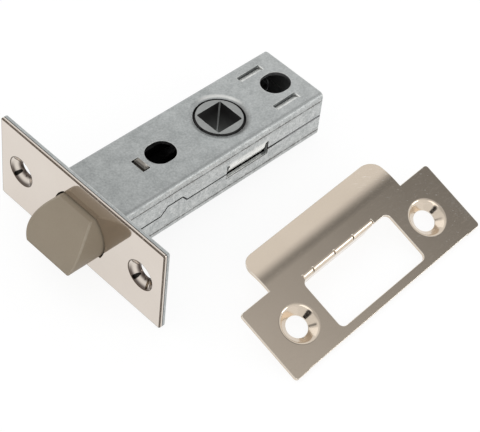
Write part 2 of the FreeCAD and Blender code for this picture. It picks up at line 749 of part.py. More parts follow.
def make_carriage():
    """Steel stirrup: two forked legs, a web behind the bolt, cam lugs and spring pushers."""
    body = new_body("bolt_carriage")
    for level, floor in (("upper", LEG_FLOOR), ("lower", f"-{LEG_TOP}")):
        leg = new_sketch(body, f"{level}_leg_outline", "XY_Plane", floor)
        half = [
            ("dims.bolt_rear", HALF_CARRIAGE),
            (CARRIAGE_END, HALF_CARRIAGE),
            (CARRIAGE_END, "dims.prong_half"),
            ("dims.backset + dims.prong_lead", "dims.prong_half"),
            ("dims.backset + dims.prong_lead", "dims.window_half"),
            ("dims.backset - dims.window_lead", "dims.window_half"),
            ("dims.backset - dims.window_lead", "dims.slot_half"),
            (f"{SEAT_FRONT} - dims.travel - dims.seat_gap", "dims.slot_half"),
        ]
        mirrored = [(across, f"-{up}") for across, up in reversed(half)]
        add_outline(leg, half + mirrored)
        pad(body, leg, f"{level}_leg", "dims.strap")
    web = new_sketch(body, "web_outline", "YZ_Plane", "dims.bolt_rear")
    add_rectangle(web, f"-{HALF_CARRIAGE}", HALF_CARRIAGE, f"-{LEG_TOP}", LEG_TOP)
    pad(body, web, "web", "dims.strap")
    pushers = new_sketch(body, "pusher_outline", "XY_Plane")
    for sign in ("", "-"):
        add_rectangle(
            pushers, f"{CARRIAGE_END} - dims.strap", CARRIAGE_END,
            f"{sign}dims.pusher_inner", f"{sign}{HALF_CARRIAGE}",
        )
    pad(body, pushers, "pushers", f"2 * {LEG_FLOOR}", both_ways=True)
    for level, start in (("upper", "dims.cam_inner"), ("lower", f"-{LEG_TOP}")):
        lugs = new_sketch(body, f"{level}_lug_outline", "XY_Plane", start)
        for sign in ("", "-"):
            add_rectangle(
                lugs, LUG_FRONT, f"{LUG_FRONT} + dims.lug_thick",
                f"{sign}dims.lug_inner", f"{sign}{HALF_CARRIAGE}",
            )
        pad(body, lugs, f"{level}_lugs", f"{LEG_TOP} - dims.cam_inner")
    holes = new_sketch(body, "web_holes", "YZ_Plane", "dims.bolt_rear")
    add_circle(holes, "0", "0", "dims.spring_bore")
    for sign in ("", "-"):
        add_circle(holes, f"{sign}dims.stake_spacing / 2", "0", "dims.stake_pin")
    cut(body, holes, "web_hole", "dims.strap", flip=True)
    return body


def make_spring_seat():
    """Moulded block between the legs, with a key into each half of the case and a spigot."""
    body = new_body("spring_seat")
    block = new_sketch(body, "seat_block", "YZ_Plane", SEAT_FRONT)
    side = f"({INNER_WIDTH} - dims.seat_gap)"
    level = f"({LEG_FLOOR} - dims.seat_gap)"
    ridge = "(dims.slot_half - dims.seat_gap)"
    top = f"({INNER_HEIGHT} - dims.tab_gap)"
    quarter = [(side, level), (ridge, level), (ridge, top)]
    upper = quarter + [(f"-{across}", up) for across, up in reversed(quarter)]
    lower = [(across, f"-{up}") for across, up in reversed(upper)]
    add_outline(block, upper + lower)
    pad(body, block, "seat", "dims.seat_length")
    key = new_sketch(body, "key_outline", "XY_Plane")
    add_rectangle(
        key, f"{KEY_END} - dims.key_length", KEY_END, "-dims.key_width / 2", "dims.key_width / 2"
    )
    height = SIZES["case_height"] / 2 - SIZES["key_sink"]
    keys = pad(body, key, "keys", f"2 * ({HALF_HEIGHT} - dims.key_sink)", both_ways=True)
    bevel_edges(
        body, keys, "key_bevel", "dims.key_chamfer",
        lambda edge: reaches(edge, "Z", height) or reaches(edge, "Z", -height),
    )
    post = new_sketch(body, "spigot_circle", "YZ_Plane", f"{SEAT_FRONT} - dims.spigot_length")
    add_circle(post, "0", "0", "dims.spigot")
    pad(body, post, "spring_spigot", "dims.spigot_length")
    return body


def make_spring(name, front, rear, middle, coil, wire, turns):
    """A compression spring along X: its path runs round in short straight pieces."""
    steps = int(SIZES["coil_steps"] * SIZES[turns])
    rise = (rear - front - SIZES[wire]) / steps
    radius = SIZES[coil] / 2
    nodes = []
    for step in range(steps + 1):
        angle = 2 * math.pi * step / SIZES["coil_steps"]
        nodes.append(Vector(rise * step, radius * math.cos(angle), radius * math.sin(angle)))
    path = document.addObject("Part::Polygon", f"{name}_path")
    path.Nodes = nodes
    section = document.addObject("Part::RegularPolygon", f"{name}_wire")
    section.Polygon = 6
    section.setExpression("Circumradius", f"dims.{wire} / 2")
    section.Placement = Placement(nodes[0], Rotation(Vector(0, 0, 1), nodes[1] - nodes[0]))
    spring = document.addObject("Part::Sweep", name)
    spring.Label = name
    spring.Sections = [section]
    spring.Spine = path
    spring.Solid = True
    spring.Transition = "Right corner"
    spring.Placement.Base = Vector(front + SIZES[wire] / 2, middle, 0)
    return spring


def make_springs():
    """The bolt's spring, and a return spring on each side of the rear hole."""
    pushers = SIZES["backset"] + SIZES["carriage_tail"]
    rear_wall = SIZES["backset"] + SIZES["case_tail"] - SIZES["case_sheet"]
    middle = SIZES["return_middle"]
    seat_front = float(sheet.evalExpression(SEAT_FRONT))
    springs = [make_spring(
        "bolt_spring", -SIZES["bore_end"], seat_front, 0,
        "bolt_coil", "bolt_wire", "bolt_turns",
    )]
    for name, side in (("return_spring_left", middle), ("return_spring_right", -middle)):
        springs.append(make_spring(
            name, pushers, rear_wall, side,
            "return_coil", "return_wire", "return_turns",
        ))
    return springs


def place_strike(body):
    """Lean the strike on its lower long edge and its tongues, on the surface the latch lies on."""
    level = math.atan2(
        SIZES["plate_width"] / 2 - SIZES["case_height"] / 2,
        SIZES["backset"] + SIZES["case_tail"],
    )
    surface = Rotation(Vector(0, 1, 0), -math.degrees(level))
    turned = surface * Rotation(Vector(0, 0, 1), SIZES["strike_turn"])
    leaning = turned * Rotation(Vector(1, 0, 0), SIZES["strike_tilt"])
    foot = Vector(0, 0, -SIZES["plate_width"] / 2) + surface.multVec(
        Vector(SIZES["strike_along"], -SIZES["strike_aside"], 0)
    )
    edge = Vector(0, -SIZES["strike_width"] / 2, -SIZES["strike_sheet"])
    body.Placement = Placement(foot - leaning.multVec(edge), leaning)


def make_strike():
    """Strike plate: curved lip, cut-out with four bent tongues and two pressed countersinks."""
    body = new_body("strike_plate")
    half_length, half_width = "dims.strike_length / 2", "dims.strike_width / 2"
    step_in = f"({half_length} - dims.strike_step_end)"
    low_step = f"({half_width} - dims.strike_step)"
    blank = new_sketch(body, "strike_outline", "XY_Plane", "-dims.strike_sheet")
    corners = [
        (f"-{half_length}", f"-{half_width}"),
        (f"-{step_in}", f"-{half_width}"),
        (f"-{step_in}", f"-{low_step}"),
        (step_in, f"-{low_step}"),
        (step_in, f"-{half_width}"),
        (half_length, f"-{half_width}"),
        (half_length, half_width),
        (f"-{half_length}", half_width),
    ]
    add_outline(blank, corners)
    pad(body, blank, "strike_blank", "dims.strike_sheet")
    add_lip(body)
    opening = new_sketch(body, "strike_cut_out", "XY_Plane")
    add_round_rectangle(
        opening, "dims.cut_length / 2", "-dims.cut_low", "dims.cut_high", "dims.cut_corner"
    )
    cut(body, opening, "strike_opening")
    add_tongues(body)
    last = add_strike_sinks(body)
    ends = SIZES["strike_length"] / 2
    round_edges(
        body, last, "strike_corners", "dims.strike_corner",
        lambda edge: edge.BoundBox.ZLength > SIZES["strike_sheet"] - 0.01
        and edge.BoundBox.XLength < 0.01
        and edge.BoundBox.YLength < 0.01
        and abs(edge.CenterOfMass.x) > ends - 0.01,
    )
    place_strike(body)
    return body


def add_lip(body):
    """The lip: a short flat, then a gentle curve away from the front face."""
    half_width = "dims.strike_width / 2"
    start = f"({half_width} + dims.lip_flat)"
    lip = new_sketch(body, "lip_section", "YZ_Plane")
    outer, inner = "dims.lip_round", "(dims.lip_round - dims.strike_sheet)"
    angle = "dims.lip_angle"

    def on_arc(radius, turned):
        """A point of the curve, by its radius and how far round it is."""
        return (
            f"{start} + {radius} * sin({turned})",
            f"{radius} * cos({turned}) - dims.lip_round",
        )

    corners = [
        (half_width, "0"),
        (start, "0"),
        on_arc(outer, angle),
        on_arc(inner, angle),
        (start, "-dims.strike_sheet"),
        (half_width, "-dims.strike_sheet"),
    ]
    arcs = {1: on_arc(outer, f"({angle} / 2)"), 3: on_arc(inner, f"({angle} / 2)")}
    add_outline(lip, corners, arcs)
    bent = pad(body, lip, "lip", "dims.lip_length", both_ways=True)
    reach = SIZES["lip_length"] / 2
    tip = SIZES["strike_width"] / 2 + SIZES["lip_flat"]
    round_edges(
        body, bent, "lip_corners", "dims.lip_corner",
        lambda edge: abs(abs(edge.CenterOfMass.x) - reach) < 0.01
        and edge.CenterOfMass.y > tip + SIZES["lip_round"] * math.sin(
            math.radians(SIZES["lip_angle"])
        ) - SIZES["strike_sheet"] and edge.Length < 1.5 * SIZES["strike_sheet"],
    )


def add_tongues(body):
    """Four tongues bent down from the cut-out's upper edge until they meet the surface below."""
    names = list(TONGUES)
    bend, thick = "dims.tongue_bend", "dims.strike_sheet"
    root = f"(dims.cut_high + {bend})"
    inner = f"({bend} - {thick})"
    relief = new_sketch(body, "tongue_relief", "XY_Plane")
    add_rectangle(
        relief, f"dims.{names[0]}", f"dims.{names[-1]}", "dims.cut_high - dims.tongue_slit", root
    )
    cut(body, relief, "tongue_relief_cut")
    corners = [
        (root, "0"),
        ("dims.cut_high", f"-{bend}"),
        ("dims.cut_high", f"-{TONGUE_TIP}"),
        (f"dims.cut_high + {thick}", f"-{TONGUE_TIP}"),
        (f"dims.cut_high + {thick}", f"-{bend}"),
        (root, f"-{thick}"),
    ]
    arcs = {
        0: (f"{root} - {bend} * {DIAGONAL}", f"-{bend} * {1 - DIAGONAL}"),
        4: (f"{root} - {inner} * {DIAGONAL}", f"-{bend} + {inner} * {DIAGONAL}"),
    }
    for number, (start, end) in enumerate(zip(names, names[1:]), start=1):
        side = new_sketch(
            body, f"tongue_{number}_section", "YZ_Plane",
            f"dims.{start} + dims.tongue_slit / 2",
        )
        add_outline(side, corners, arcs)
        pad(body, side, f"tongue_{number}", f"dims.{end} - dims.{start} - dims.tongue_slit")


def add_strike_sinks(body):
    """A pressed countersink round each of the strike's screw holes."""
    depth = "((dims.strike_sink - dims.strike_hole) / 2)"
    slant = "(dims.sink_wall * sqrt(2))"
    low = f"-{depth} - dims.sink_wall / 2"
    for side, sign in (("left", "-"), ("right", "")):
        features = (
            ("cup", "PartDesign::Revolution", [
                ("0", "0"),
                (f"dims.strike_sink / 2 + {slant}", "0"),
                (f"dims.strike_hole / 2 + {slant} - dims.sink_wall / 2", low),
                ("0", low),
            ]),
            ("hole", "PartDesign::Groove", [
                ("0", "dims.sink_wall"),
                ("dims.strike_sink / 2", "dims.sink_wall"),
                ("dims.strike_sink / 2", "0"),
                ("dims.strike_hole / 2", f"-{depth}"),
                ("dims.strike_hole / 2", f"-{depth} - dims.sink_wall"),
                ("0", f"-{depth} - dims.sink_wall"),
            ]),
        )
        for part, kind, corners in features:
            profile = new_sketch(
                body, f"strike_{part}_{side}_profile", "XZ_Plane", "dims.strike_shift",
                across=f"{sign}dims.strike_spacing / 2",
            )
            add_outline(profile, corners)
            last = body.newObject(kind, f"strike_{part}_{side}")
            last.Profile = profile
            last.ReferenceAxis = (profile, ["V_Axis"])
            last.Angle = 360
    return last


pieces = [
    make_trim(),
    make_forend(),
    make_case_upper(),
    make_case_lower(),
    make_bolt(),
    make_carriage(),
    make_follower(),
    make_spring_seat(),
    make_strike(),
]
pieces += make_springs()
document.recompute()

for item in document.Objects:
    if "Invalid" in item.State or "Error" in item.State:
        raise RuntimeError(f"{item.Label} could not be made")
for piece in pieces:
    if piece.Shape.isNull() or not piece.Shape.isValid():
        raise RuntimeError(f"{piece.Label} has no valid shape")

os.makedirs("parts", exist_ok=True)
for piece in pieces:
    piece.Shape.exportStep(f"parts/{piece.Label}.step")
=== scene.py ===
import json
import math

import bmesh
import bpy
from mathutils import Matrix, Vector


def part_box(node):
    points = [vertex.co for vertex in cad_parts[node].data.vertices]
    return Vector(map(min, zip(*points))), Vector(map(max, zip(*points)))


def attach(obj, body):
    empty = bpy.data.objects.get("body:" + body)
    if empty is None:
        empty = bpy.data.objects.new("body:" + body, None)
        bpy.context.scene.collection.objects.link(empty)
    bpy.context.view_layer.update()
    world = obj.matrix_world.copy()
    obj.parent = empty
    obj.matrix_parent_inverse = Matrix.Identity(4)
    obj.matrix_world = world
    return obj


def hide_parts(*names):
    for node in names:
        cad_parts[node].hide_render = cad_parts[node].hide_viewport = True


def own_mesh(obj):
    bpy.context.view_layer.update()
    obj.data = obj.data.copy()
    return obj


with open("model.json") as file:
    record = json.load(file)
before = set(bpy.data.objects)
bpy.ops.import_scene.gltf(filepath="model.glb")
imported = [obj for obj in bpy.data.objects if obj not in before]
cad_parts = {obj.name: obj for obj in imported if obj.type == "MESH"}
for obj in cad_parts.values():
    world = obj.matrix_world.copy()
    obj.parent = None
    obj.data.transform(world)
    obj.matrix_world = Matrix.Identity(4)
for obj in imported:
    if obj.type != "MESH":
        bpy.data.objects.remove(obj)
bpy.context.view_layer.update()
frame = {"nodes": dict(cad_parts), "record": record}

# A door latch and its strike plate, lying on a pale surface.
# +X runs back along the case, +Y along the faceplate and +Z along the spindle. Units are metres.

MM = 0.001
NODES = frame["nodes"]
ALONG, ACROSS, UPWARD = Vector((1, 0, 0)), Vector((0, 1, 0)), Vector((0, 0, 1))

# The camera stands above the bolt's end, to the right.
CAMERA_PLACE = Vector((-187.22, -212.80, 308.17)) * MM
CAMERA_RIGHT = Vector((0.71727, -0.69208, 0.08092))
CAMERA_DOWN = Vector((-0.46835, -0.56483, -0.67942))
CAMERA_LENS = 132.6

# The latch rests on the faceplate's lower edge and on the case's rear lower edge.
PLATE_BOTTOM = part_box("faceplate_trim")[0].z
CASE_LOW, CASE_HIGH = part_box("case_lower")[0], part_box("case_upper")[1]
REST_SLOPE = math.atan2(CASE_LOW.z - PLATE_BOTTOM, CASE_HIGH.x)

# Measures of the faceplate and the case.
SHEET = 1.0 * MM
TRIM_BACK = 0.85 * MM
FOREND_BACK = 1.85 * MM
SLOT_ASIDE = CASE_HIGH.y - 0.5 * SHEET
SCREW_ASIDE = 21.5 * MM
TRIM_SINK = 4.1 * MM
TRIM_CENTRES = [Vector((0, side * SCREW_ASIDE, 0)) for side in (-1, 1)]
FOLD_LEVEL = 5.0 * MM
SEAM_LOW, SEAM_HIGH = -2.0 * MM, 2.4 * MM
LANCE_ASIDE = 6.5 * MM
LANCE_START = 57.95 * MM
LANCE_END = 65.5 * MM
LANCE_DEPTH = 1.9 * MM
CRIMP_START = 38.2 * MM
CRIMP_END = 52.1 * MM
CRIMP_TOP = 2.2 * MM
CRIMP_TIP = -0.95 * MM
CRIMP_DEPTH = 1.3 * MM

# Measures of the mechanism, and of the dish in the case round the follower.
SPINDLE = 45.0 * MM
SQUARE_HALF = 4.0 * MM
HUB_MIDDLE = Vector((SPINDLE, 0, 0))
HUB_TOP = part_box("follower")[1].z
FOLLOWER_BORE = 6.55 * MM
DISH_INNER = 6.6 * MM
DISH_OUTER = 8.1 * MM
DISH_DEPTH = 0.40 * MM
KEY_FRONT = 18.6 * MM
KEY_MIDDLE = KEY_FRONT + 0.75 * MM
KEY_HALF = 1.95 * MM
KEY_TOP = 7.75 * MM

# The strike plate lies on the same slope, turned and leaning on its lower long edge.
STRIKE_SCREWS = Vector(next(
    mount["pos_m"] for mount in frame["record"]["mounts"] if mount["name"] == "strike_screws"
))
STRIKE_TURN = math.radians(2.0)
STRIKE_LEAN = math.radians(22.2)
STRIKE_FRAME = (
    Matrix.Rotation(-REST_SLOPE, 3, "Y")
    @ Matrix.Rotation(STRIKE_TURN, 3, "Z")
    @ Matrix.Rotation(STRIKE_LEAN, 3, "X")
)
STRIKE_HOLE_ASIDE = 22.85 * MM
STRIKE_HOLE_DEPTH = 2.2 * MM
STRIKE_SINK = 4.8 * MM
STRIKE_UP = STRIKE_FRAME @ UPWARD
STRIKE_ACROSS = STRIKE_FRAME @ ACROSS
STRIKE_MIDDLE = STRIKE_SCREWS + STRIKE_UP * STRIKE_HOLE_DEPTH
STRIKE_CENTRES = [
    STRIKE_MIDDLE + STRIKE_FRAME @ Vector((side * STRIKE_HOLE_ASIDE, 0, 0)) for side in (-1, 1)
]

# How surfaces are joined, rounded and shaded.
WELD_REACH = 0.002 * MM
CUT_REACH = 0.001 * MM
FLAT_ANGLE = math.radians(0.4)
SHARP_ANGLE = math.radians(28)
SMOOTH_ANGLE = math.radians(38)

# Finishes, as linear colours.
TRIM_NICKEL = (0.675, 0.605, 0.540, 1)
TRIM_NICKEL_LIGHT = (0.72, 0.655, 0.59, 1)
# A painted dark line on the trim's front edges and sink rims, and on the strike's long side.
TRIM_EDGE = (0.10, 0.075, 0.055, 1)
# A painted dark reflection in the faceplate's sinks.
SINK_BROWN = (0.070, 0.050, 0.042, 1)
STRIKE_NICKEL = (0.655, 0.562, 0.460, 1)
STRIKE_NICKEL_LIGHT = (0.71, 0.615, 0.51, 1)
# Nicks, and scuffed edges that also take a painted highlight.
STRIKE_EDGE = (0.93, 0.89, 0.82, 1)
ZINC_LIGHT = (0.510, 0.530, 0.525, 1)
ZINC_DARK = (0.360, 0.378, 0.376, 1)
# Pale zinc bloom on the sides, and painted light on the rear of the top.
ZINC_BLOOM_AND_LIGHT = (0.72, 0.73, 0.72, 1)
# Scuffed edges with a painted highlight, and painted highlights over the crimps and on the dish.
ZINC_EDGE = (0.93, 0.93, 0.90, 1)
# Dark specks, stains and fold lines, and painted shade by the forend plate, at the top's front and
# in the dish.
ZINC_GRIME_AND_SHADE = (0.07, 0.062, 0.055, 1)
# Painted shade for inside faces and openings, and a lighter painted shade inside the case's rear.
INSIDE_SHADE = (0.030, 0.029, 0.029, 1)
INSIDE_REAR_SHADE = (0.22, 0.22, 0.225, 1)
# Painted shade in the gap behind the faceplate trim.
SEAM_DARK = (0.020, 0.018, 0.016, 1)
BOLT_TAUPE = (0.325, 0.270, 0.199, 1)
BOLT_TAUPE_DARK = (0.288, 0.238, 0.174, 1)
# The bolt's scuffed edges, lightened as a painted highlight.
BOLT_WORN_AND_LIT = (0.40, 0.345, 0.27, 1)
HUB_LIGHT = (0.43, 0.44, 0.43, 1)
HUB_DARK = (0.27, 0.28, 0.275, 1)
# The follower's scuffed edges, and a painted highlight in the corners of its square hole.
HUB_WORN_AND_LIT = (0.60, 0.62, 0.61, 1)
KEY_BROWN = (0.25, 0.228, 0.196, 1)
KEY_BROWN_DARK = (0.15, 0.137, 0.118, 1)
KEY_SHADE = (0.045, 0.040, 0.034, 1)
# The key's scuffed edges, and its painted highlight.
KEY_WORN_AND_LIT = (0.50, 0.47, 0.42, 1)
# The carriage and spring colours are darkened with painted shade, as they sit inside the case.
CARRIAGE_STEEL = (0.070, 0.070, 0.070, 1)
CARRIAGE_STEEL_DARK = (0.045, 0.045, 0.045, 1)
CARRIAGE_WORN = (0.3, 0.3, 0.3, 1)
WIRE_GREY = (0.13, 0.135, 0.14, 1)
WIRE_DARK = (0.07, 0.073, 0.075, 1)
WIRE_WORN = (0.5, 0.5, 0.5, 1)
FLOOR_PALE = (0.80, 0.80, 0.80, 1)
FLOOR_SHADOWED = (0.16, 0.16, 0.16, 1)
WHITE = (1, 1, 1, 1)


# Shared effects.

def new_group(name, inputs, outputs):
    """An empty shader group with named inputs and their values, and its two end nodes."""
    group = bpy.data.node_groups.new(name, "ShaderNodeTree")
    for label, value in inputs.items():
        kind = "NodeSocketVector" if isinstance(value, tuple) else "NodeSocketFloat"
        socket = group.interface.new_socket(label, in_out="INPUT", socket_type=kind)
        socket.default_value = value
    for label in outputs:
        group.interface.new_socket(label, in_out="OUTPUT", socket_type="NodeSocketFloat")
    return group, group.nodes.new("NodeGroupInput"), group.nodes.new("NodeGroupOutput")


def object_place(tree):
    """Object coordinates."""
    return tree.nodes.new("ShaderNodeTexCoord").outputs["Object"]


def place_axes(tree):
    """Object coordinates, by axis."""
    split = tree.nodes.new("ShaderNodeSeparateXYZ")
    tree.links.new(object_place(tree), split.inputs["Vector"])
    return split.outputs


def add_noise(tree, vector, scale, detail):
    """A noise texture on a vector. The scale is a number or a socket."""
    noise = tree.nodes.new("ShaderNodeTexNoise")
    tree.links.new(vector, noise.inputs["Vector"])
    put(tree, scale, noise.inputs["Scale"])
    noise.inputs["Detail"].default_value = detail
    return noise.outputs["Fac"]


def read_mark(tree, name):
    """A mark that dress has put on the faces."""
    attribute = tree.nodes.new("ShaderNodeAttribute")
    attribute.attribute_name = name
    return attribute.outputs["Fac"]


def put(tree, value, socket):
    """Link a socket to another, or set its value."""
    if isinstance(value, bpy.types.NodeSocket):
        tree.links.new(value, socket)
    else:
        socket.default_value = value


def calculate(tree, operation, first, second=0.0, clamp=False):
    """One arithmetic step."""
    step = tree.nodes.new("ShaderNodeMath")
    step.operation = operation
    step.use_clamp = clamp
    put(tree, first, step.inputs[0])
    put(tree, second, step.inputs[1])
    return step.outputs["Value"]


def multiply(tree, product, *others):
    """The product of some values."""
    for other in others:
        product = calculate(tree, "MULTIPLY", product, other)
    return product


def length_of(tree, first, second):
    """The length of a line that goes this far along two axes."""
    squares = [calculate(tree, "MULTIPLY", side, side) for side in (first, second)]
    return calculate(tree, "SQRT", calculate(tree, "ADD", *squares))


def map_range(tree, value, start, end, low=0.0, high=1.0, smooth=False):
    """A value from one range spread over another."""
    spread = tree.nodes.new("ShaderNodeMapRange")
    if smooth:
        spread.interpolation_type = "SMOOTHSTEP"
    put(tree, value, spread.inputs["Value"])
    put(tree, start, spread.inputs["From Min"])
    put(tree, end, spread.inputs["From Max"])
    put(tree, low, spread.inputs["To Min"])
    put(tree, high, spread.inputs["To Max"])
    return spread.outputs["Result"]


def band(tree, value, start, full, fade, end, smooth_end=False):
    """1 from full to fade, and 0 before start and after end."""
    rise = map_range(tree, value, start, full)
    fall = map_range(tree, value, fade, end, low=1.0, high=0.0, smooth=smooth_end)
    return multiply(tree, rise, fall)


def near_face(tree, value, face, start, full):
    """1 by a face and the one opposite, 0 inside. start and full are depths below the face."""
    level = calculate(tree, "ABSOLUTE", value)
    return map_range(tree, level, face - start, face - full)


def make_mottle():
    """Soft clouds with a fine grain in them, as on dull plate and castings."""
    group, start, end = new_group(
        "mottle",
        {"Patch Scale": 250.0, "Grain Scale": 2500.0, "Grain Share": 0.5, "Contrast": 1.0},
        ["Mask", "Height"],
    )
    place = object_place(group)
    patches = add_noise(group, place, start.outputs["Patch Scale"], detail=4.0)
    grain = add_noise(group, place, start.outputs["Grain Scale"], detail=2.0)
    mixed = group.nodes.new("ShaderNodeMix")
    group.links.new(start.outputs["Grain Share"], mixed.inputs["Factor"])
    group.links.new(patches, mixed.inputs["A"])
    group.links.new(grain, mixed.inputs["B"])
    centred = calculate(group, "SUBTRACT", mixed.outputs["Result"], 0.5)
    spread = multiply(group, centred, start.outputs["Contrast"])
    group.links.new(calculate(group, "ADD", spread, 0.5, clamp=True), end.inputs["Mask"])
    group.links.new(mixed.outputs["Result"], end.inputs["Height"])
    return group


def make_scratches():
    """Fine straight scratches along one direction. Rarity sets how few are strong."""
    group, start, end = new_group(
        "scratches",
        {"Turn": (0.0, 0.0, 0.0), "Fineness": 9000.0, "Length": 0.02, "Rarity": 0.60},
        ["Mask", "Height"],
    )
    turned = group.nodes.new("ShaderNodeVectorRotate")
    turned.rotation_type = "EULER_XYZ"
    group.links.new(object_place(group), turned.inputs["Vector"])
    group.links.new(start.outputs["Turn"], turned.inputs["Rotation"])
    shape = group.nodes.new("ShaderNodeCombineXYZ")
    group.links.new(start.outputs["Length"], shape.inputs["X"])
    shape.inputs["Y"].default_value = 1.0
    shape.inputs["Z"].default_value = 1.0
    squeezed = group.nodes.new("ShaderNodeVectorMath")
    squeezed.operation = "MULTIPLY"
    group.links.new(turned.outputs["Vector"], squeezed.inputs[0])
    group.links.new(shape.outputs["Vector"], squeezed.inputs[1])
    lines = add_noise(group, squeezed.outputs["Vector"], start.outputs["Fineness"], detail=2.0)
    top = calculate(group, "ADD", start.outputs["Rarity"], 0.10)
    group.links.new(map_range(group, lines, start.outputs["Rarity"], top), end.inputs["Mask"])
    group.links.new(lines, end.inputs["Height"])
    return group


def make_edge_light_and_wear():
    """Scuffed rounded edges with a painted highlight, or on the trim a painted dark line, broken up
    by a fine noise.
    """
    group, start, end = new_group("edge_light_and_wear", {"Amount": 1.0, "Break Up": 900.0}, ["Mask"])
    noise = add_noise(group, object_place(group), start.outputs["Break Up"], detail=2.0)
    patchy = map_range(group, noise, 0.30, 0.60, low=0.35)
    edge_scuffs_and_light = multiply(group, read_mark(group, "edge"), patchy)
    scaled = calculate(group, "MULTIPLY", edge_scuffs_and_light, start.outputs["Amount"], clamp=True)
    group.links.new(scaled, end.inputs["Mask"])
    return group


def make_painted_shade():
    """Painted shade, where a piece is a wall of an opening, a gap between parts or an inside face.
    """
    group, start, end = new_group("painted_shade", {"Amount": 1.0}, ["Mask"])
    scaled = multiply(group, read_mark(group, "painted_shade"), start.outputs["Amount"])
    group.links.new(scaled, end.inputs["Mask"])
    return group


def make_specks():
    """Small round specks, far apart."""
    group, start, end = new_group("specks", {"Spacing": 200.0, "Size": 0.03}, ["Mask"])
    cells = group.nodes.new("ShaderNodeTexVoronoi")
    group.links.new(object_place(group), cells.inputs["Vector"])
    group.links.new(start.outputs["Spacing"], cells.inputs["Scale"])
    dots = map_range(
        group, cells.outputs["Distance"], 0.0, start.outputs["Size"], low=1.0, high=0.0
    )
    group.links.new(dots, end.inputs["Mask"])
    return group


MOTTLE = make_mottle()
SCRATCHES = make_scratches()
EDGE_LIGHT_AND_WEAR = make_edge_light_and_wear()
PAINTED_SHADE = make_painted_shade()
SPECKS = make_specks()


def place_group(material, group, **values):
    """A group placed in a material, with its inputs set by name."""
    node = material.node_tree.nodes.new("ShaderNodeGroup")
    node.node_tree = group
    for label, value in values.items():
        node.inputs[label.replace("_", " ")].default_value = value
    return node.outputs


def new_material(name, metallic, roughness):
    """A material and its shader, with its even values set."""
    material = bpy.data.materials.new(name)
    material.use_nodes = True
    shader = material.node_tree.nodes["Principled BSDF"]
    shader.inputs["Metallic"].default_value = metallic
    shader.inputs["Roughness"].default_value = roughness
    return material, shader


def mix_colours(material, mask, low, high):
    """A colour between two, by a mask. Each is a colour or a socket."""
    mix = material.node_tree.nodes.new("ShaderNodeMix")
    mix.data_type = "RGBA"
    material.node_tree.links.new(mask, mix.inputs["Factor"])
    for name, colour in (("A", low), ("B", high)):
        target = next(s for s in mix.inputs if s.name == name and s.type == "RGBA")
        put(material.node_tree, colour, target)
    return next(s for s in mix.outputs if s.type == "RGBA")


def spread_roughness(tree, shader, mask, low, high):
    """A roughness between two, by a mask."""
    tree.links.new(map_range(tree, mask, 0, 1, low, high), shader.inputs["Roughness"])


def add_bump(material, shader, height, distance, under=None):
    """A bump from a height socket, on top of another where one is given. distance is in metres."""
    bump = material.node_tree.nodes.new("ShaderNodeBump")
    bump.inputs["Distance"].default_value = distance
    material.node_tree.links.new(height, bump.inputs["Height"])
    if under:
        material.node_tree.links.new(under, bump.inputs["Normal"])
    material.node_tree.links.new(bump.outputs["Normal"], shader.inputs["Normal"])
    return bump.outputs["Normal"]


# Finishes.

def sink_dark_reflection(tree):
    """Painted dark reflection in the faceplate's sinks: along the rim's lower side, and round the
    hole.
    """
    strength = 0.92
    hole_full, hole_end = 2.35 * MM, 2.95 * MM
    rim_start, rim_full = TRIM_SINK - 0.95 * MM, TRIM_SINK - 0.30 * MM
    sink_end, plate_start = TRIM_SINK + 0.05 * MM, TRIM_SINK + 0.12 * MM
    place = place_axes(tree)
    centre = multiply(tree, calculate(tree, "SIGN", place["Y"]), SCREW_ASIDE)
    aside = calculate(tree, "SUBTRACT", place["Y"], centre)
    radius = length_of(tree, aside, place["Z"])
    down = calculate(tree, "SUBTRACT", multiply(tree, aside, 0.25), place["Z"])
    down = calculate(tree, "DIVIDE", down, radius)
    rim = multiply(
        tree, map_range(tree, radius, rim_start, rim_full, smooth=True),
        map_range(tree, down, -0.15, 0.75, smooth=True),
    )
    hole = multiply(
        tree, map_range(tree, radius, hole_full, hole_end, low=1.0, high=0.0, smooth=True),
        map_range(tree, down, -0.6, 0.2, smooth=True),
    )
    within = map_range(tree, radius, sink_end, plate_start, low=strength, high=0.0)
    return multiply(tree, calculate(tree, "MAXIMUM", rim, hole), within)


def polished_nickel():
    """Mirror-bright nickel plate with hairlines, painted dark lines at its edges and painted shade
    behind it.
    """
    material, shader = new_material("polished_nickel", metallic=1.0, roughness=0.06)
    tree = material.node_tree
    lines = place_group(
        material, SCRATCHES, Turn=(0, 0, math.radians(90)), Fineness=6000.0, Rarity=0.62
    )
    cloud = place_group(material, MOTTLE, Patch_Scale=60.0, Grain_Share=0.12, Contrast=1.6)
    edge_scuffs_and_light = place_group(material, EDGE_LIGHT_AND_WEAR, Amount=2.2)
    deep = place_group(material, PAINTED_SHADE)
    base = mix_colours(material, cloud["Mask"], TRIM_NICKEL, TRIM_NICKEL_LIGHT)
    # A painted dark reflection in the sinks.
    base = mix_colours(material, sink_dark_reflection(tree), base, SINK_BROWN)
    # A painted dark line along the front edges and the sink rims.
    edged = mix_colours(material, edge_scuffs_and_light["Mask"], base, TRIM_EDGE)
    shaded = mix_colours(material, deep["Mask"], edged, SEAM_DARK)
    tree.links.new(shaded, shader.inputs["Base Color"])
    spread_roughness(tree, shader, lines["Mask"], low=0.05, high=0.16)
    add_bump(material, shader, lines["Height"], 0.25e-6)
    return material


